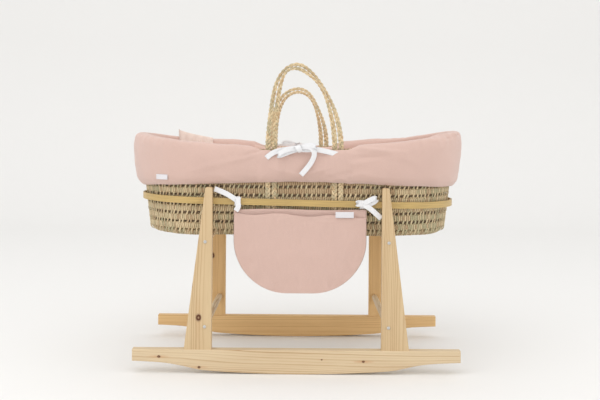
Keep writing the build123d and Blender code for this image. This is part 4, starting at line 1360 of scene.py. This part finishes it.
def sew_pocket():
    """Back panel, and the pouch in front of it: a wide seam all round, and a hem across the mouth."""
    pink = cotton("pocket cotton", finishes().pink)
    back = pocket_sheet("pocket_back", "pocket_back_panel", lambda u, v: 0.0022 + 0 * u, 0.0036,
                        lambda u, v, x, z: 0.0004 * ripple(np.stack([x, 0 * x, z], -1), 0.05, 41),
                        lambda u: 0.0010 + 0.0012 * np.sin(u * 4))
    place(back, "pocket", pink, ["pocket_back_panel"])

    def lift(u, v):
        """The pouch's fullness, which falls to the sides and the foot."""
        side = smooth(0, 0.34, 1 - np.abs(u)) * smooth(0, 0.55, 1 - v)
        return 0.0058 + 0.0085 * side * (0.55 + 0.45 * (1 - v))

    def relief(u, v, x, z):
        """Gaussian seams and hem, a sagging mouth, gathers that fan out at the corners, and soft noise."""
        spot = np.stack([x, 0 * x, z], -1)
        seam = (np.exp(-(((1 - np.abs(u)) * POCKET_HALF - 0.007) / 0.0018) ** 2)
                + np.exp(-(((1 - v) * POCKET_DEPTH - 0.006) / 0.0018) ** 2))
        hem = np.exp(-((v * POCKET_DEPTH - 0.011) / 0.0014) ** 2)
        sag = 0.0016 * np.sin(u * 5.5 + 0.6) * (1 - v) ** 2
        spread = np.sin(np.arctan2(z - z.max(), x - x.mean()) * 26)
        rays = 0.0011 * spread * smooth(0.5, 0.95, np.abs(u)) * smooth(0.25, 0.8, v)
        return (0.0004 * seam + 0.0006 * hem + sag + rays + 0.0009 * ripple(spot, 0.055, 43)
                + 0.0006 * ripple(spot * (1, 1, 0.5), 0.018, 44))

    front = pocket_sheet("pocket_front", "pocket_front_panel", lift, 0.0032, relief,
                         lambda u: 0.0075 + 0.0040 * u + 0.0030 * np.sin(u * 7.5 + 0.8))
    place(front, "pocket", pink, ["pocket_front_panel"])


# ---------------------------------------------------------------- stage
def plain(name, value, roughness):
    """A plain matt material."""
    material = bpy.data.materials.new(name)
    material.use_nodes = True
    node = material.node_tree.nodes["Principled BSDF"]
    node.inputs["Base Color"].default_value = value
    node.inputs["Roughness"].default_value = roughness
    node.inputs["Specular IOR Level"].default_value = 0.1
    return material


def set_stage():
    """Pale floor that sweeps up behind, even light all round, a large light overhead, and the camera."""
    stage = bpy.context.scene.stage_sizes
    reach, back, sweep, tall = 7.0, 4.0, 1.2, 6.0
    turn = np.linspace(0, math.pi / 2, 24)
    y = np.concatenate([[-reach], back - sweep + sweep * np.sin(turn), [back]])
    z = np.concatenate([[0], sweep - sweep * np.cos(turn), [tall]])
    x = np.linspace(-reach, reach, 3)
    points = np.stack(np.broadcast_arrays(x[:, None], y[None, :], z[None, :]), -1)[None]
    floor = grids("backdrop", points, closed_round=False)
    floor.data.materials.append(plain("pale backdrop", (0.86, 0.855, 0.845, 1), 0.9))

    world = bpy.context.scene.world or bpy.data.worlds.new("even light")
    bpy.context.scene.world = world
    world.use_nodes = True
    sky = world.node_tree.nodes["Background"]
    sky.inputs[0].default_value = (1.0, 0.995, 0.985, 1)
    sky.inputs[1].default_value = stage.sky

    def area(name, place_at, aim, size, watts):
        """A rectangular light that faces its aim."""
        light = bpy.data.lights.new(name, "AREA")
        light.shape = "RECTANGLE"
        light.size, light.size_y = size
        light.energy = watts
        obj = bpy.data.objects.new(name, light)
        bpy.context.collection.objects.link(obj)
        obj.location = place_at
        obj.rotation_euler = (Vector(place_at) - Vector(aim)).to_track_quat("Z", "Y").to_euler()

    area("key", (-0.7, -1.4, 2.6), (0, 0, 0.3), (2.4, 1.8), stage.key)
    area("left_fill", (-2.4, -1.6, 1.2), (0, 0, 0.35), (1.6, 1.6), stage.fill)
    area("right_fill", (2.5, -1.2, 1.3), (0, 0, 0.35), (1.6, 1.6), stage.fill)

    camera = bpy.data.cameras.new("camera")
    camera.lens, camera.sensor_width = stage.lens, 36
    camera.shift_y = -stage.drop
    holder = bpy.data.objects.new("camera", camera)
    bpy.context.collection.objects.link(holder)
    turn = Matrix.Rotation(math.pi / 2, 4, "X") @ Matrix.Rotation(stage.roll, 4, "Z")
    holder.matrix_world = Matrix.Translation((stage.aside, -stage.distance, stage.height)) @ turn
    bpy.context.scene.camera = holder
    bpy.context.scene.view_settings.view_transform = "Standard"


# ---------------------------------------------------------------- operators and panel
class BASKET_OT_groups(bpy.types.Operator):
    """Makes the shader node groups"""
    bl_idname = "basket.groups"
    bl_label = "Shader groups"

    def execute(self, context):
        make_groups()
        return {"FINISHED"}


class BASKET_OT_stand(bpy.types.Operator):
    """Finishes the stand's wood and metal"""
    bl_idname = "basket.stand"
    bl_label = "Stand"

    def execute(self, context):
        wood_for_stand()
        return {"FINISHED"}


class BASKET_OT_weave(bpy.types.Operator):
    """Weaves the wall, floor and rim"""
    bl_idname = "basket.weave"
    bl_label = "Woven basket"

    def execute(self, context):
        weave_basket()
        return {"FINISHED"}


class BASKET_OT_handles(bpy.types.Operator):
    """Plaits the two handles"""
    bl_idname = "basket.handles"
    bl_label = "Handles"

    def execute(self, context):
        plait_handles()
        return {"FINISHED"}


class BASKET_OT_liner(bpy.types.Operator):
    """Pads the skirt and the lining"""
    bl_idname = "basket.liner"
    bl_label = "Liner"

    def execute(self, context):
        pad_skirt()
        pad_lining()
        return {"FINISHED"}


class BASKET_OT_bedding(bpy.types.Operator):
    """Lays the mattress and the quilt"""
    bl_idname = "basket.bedding"
    bl_label = "Bedding"

    def execute(self, context):
        make_bedding()
        return {"FINISHED"}


class BASKET_OT_pocket(bpy.types.Operator):
    """Sews the hanging pocket"""
    bl_idname = "basket.pocket"
    bl_label = "Pocket"

    def execute(self, context):
        sew_pocket()
        return {"FINISHED"}


class BASKET_OT_trims(bpy.types.Operator):
    """Ties the tapes and sews the labels"""
    bl_idname = "basket.trims"
    bl_label = "Tapes and labels"

    def execute(self, context):
        tie_tapes()
        sew_labels()
        return {"FINISHED"}


class BASKET_OT_stage(bpy.types.Operator):
    """Sets the floor, the lights and the camera"""
    bl_idname = "basket.stage"
    bl_label = "Stage"

    def execute(self, context):
        set_stage()
        return {"FINISHED"}


OPERATORS = (BASKET_OT_groups, BASKET_OT_stand, BASKET_OT_weave, BASKET_OT_handles, BASKET_OT_liner,
             BASKET_OT_bedding, BASKET_OT_pocket, BASKET_OT_trims, BASKET_OT_stage)


class BASKET_PT_panel(bpy.types.Panel):
    """One button for each group of pieces"""
    bl_idname = "BASKET_PT_panel"
    bl_label = "Moses basket"
    bl_space_type = "VIEW_3D"
    bl_region_type = "UI"
    bl_category = "Moses basket"

    def draw(self, context):
        for operator in OPERATORS:
            self.layout.operator(operator.bl_idname)
        for sizes in ("basket_sizes", "cloth_sizes", "basket_finishes", "stage_sizes"):
            group_of = getattr(context.scene, sizes)
            for name in group_of.__annotations__:
                self.layout.prop(group_of, name)


GROUPS = {"basket_sizes": BasketSizes, "cloth_sizes": ClothSizes, "basket_finishes": Finishes,
          "stage_sizes": StageSizes}


def register():
    for kind in (*GROUPS.values(), *OPERATORS, BASKET_PT_panel):
        bpy.utils.register_class(kind)
    for name, kind in GROUPS.items():
        setattr(bpy.types.Scene, name, bpy.props.PointerProperty(type=kind))


def unregister():
    for name in GROUPS:
        delattr(bpy.types.Scene, name)
    for kind in reversed((*GROUPS.values(), *OPERATORS, BASKET_PT_panel)):
        bpy.utils.unregister_class(kind)


def main():
    """Makes every piece in order."""
    register()
    for step in ("groups", "stand", "weave", "handles", "liner", "bedding", "pocket", "trims", "stage"):
        getattr(bpy.ops.basket, step)()


if __name__ == "__main__":
    main()
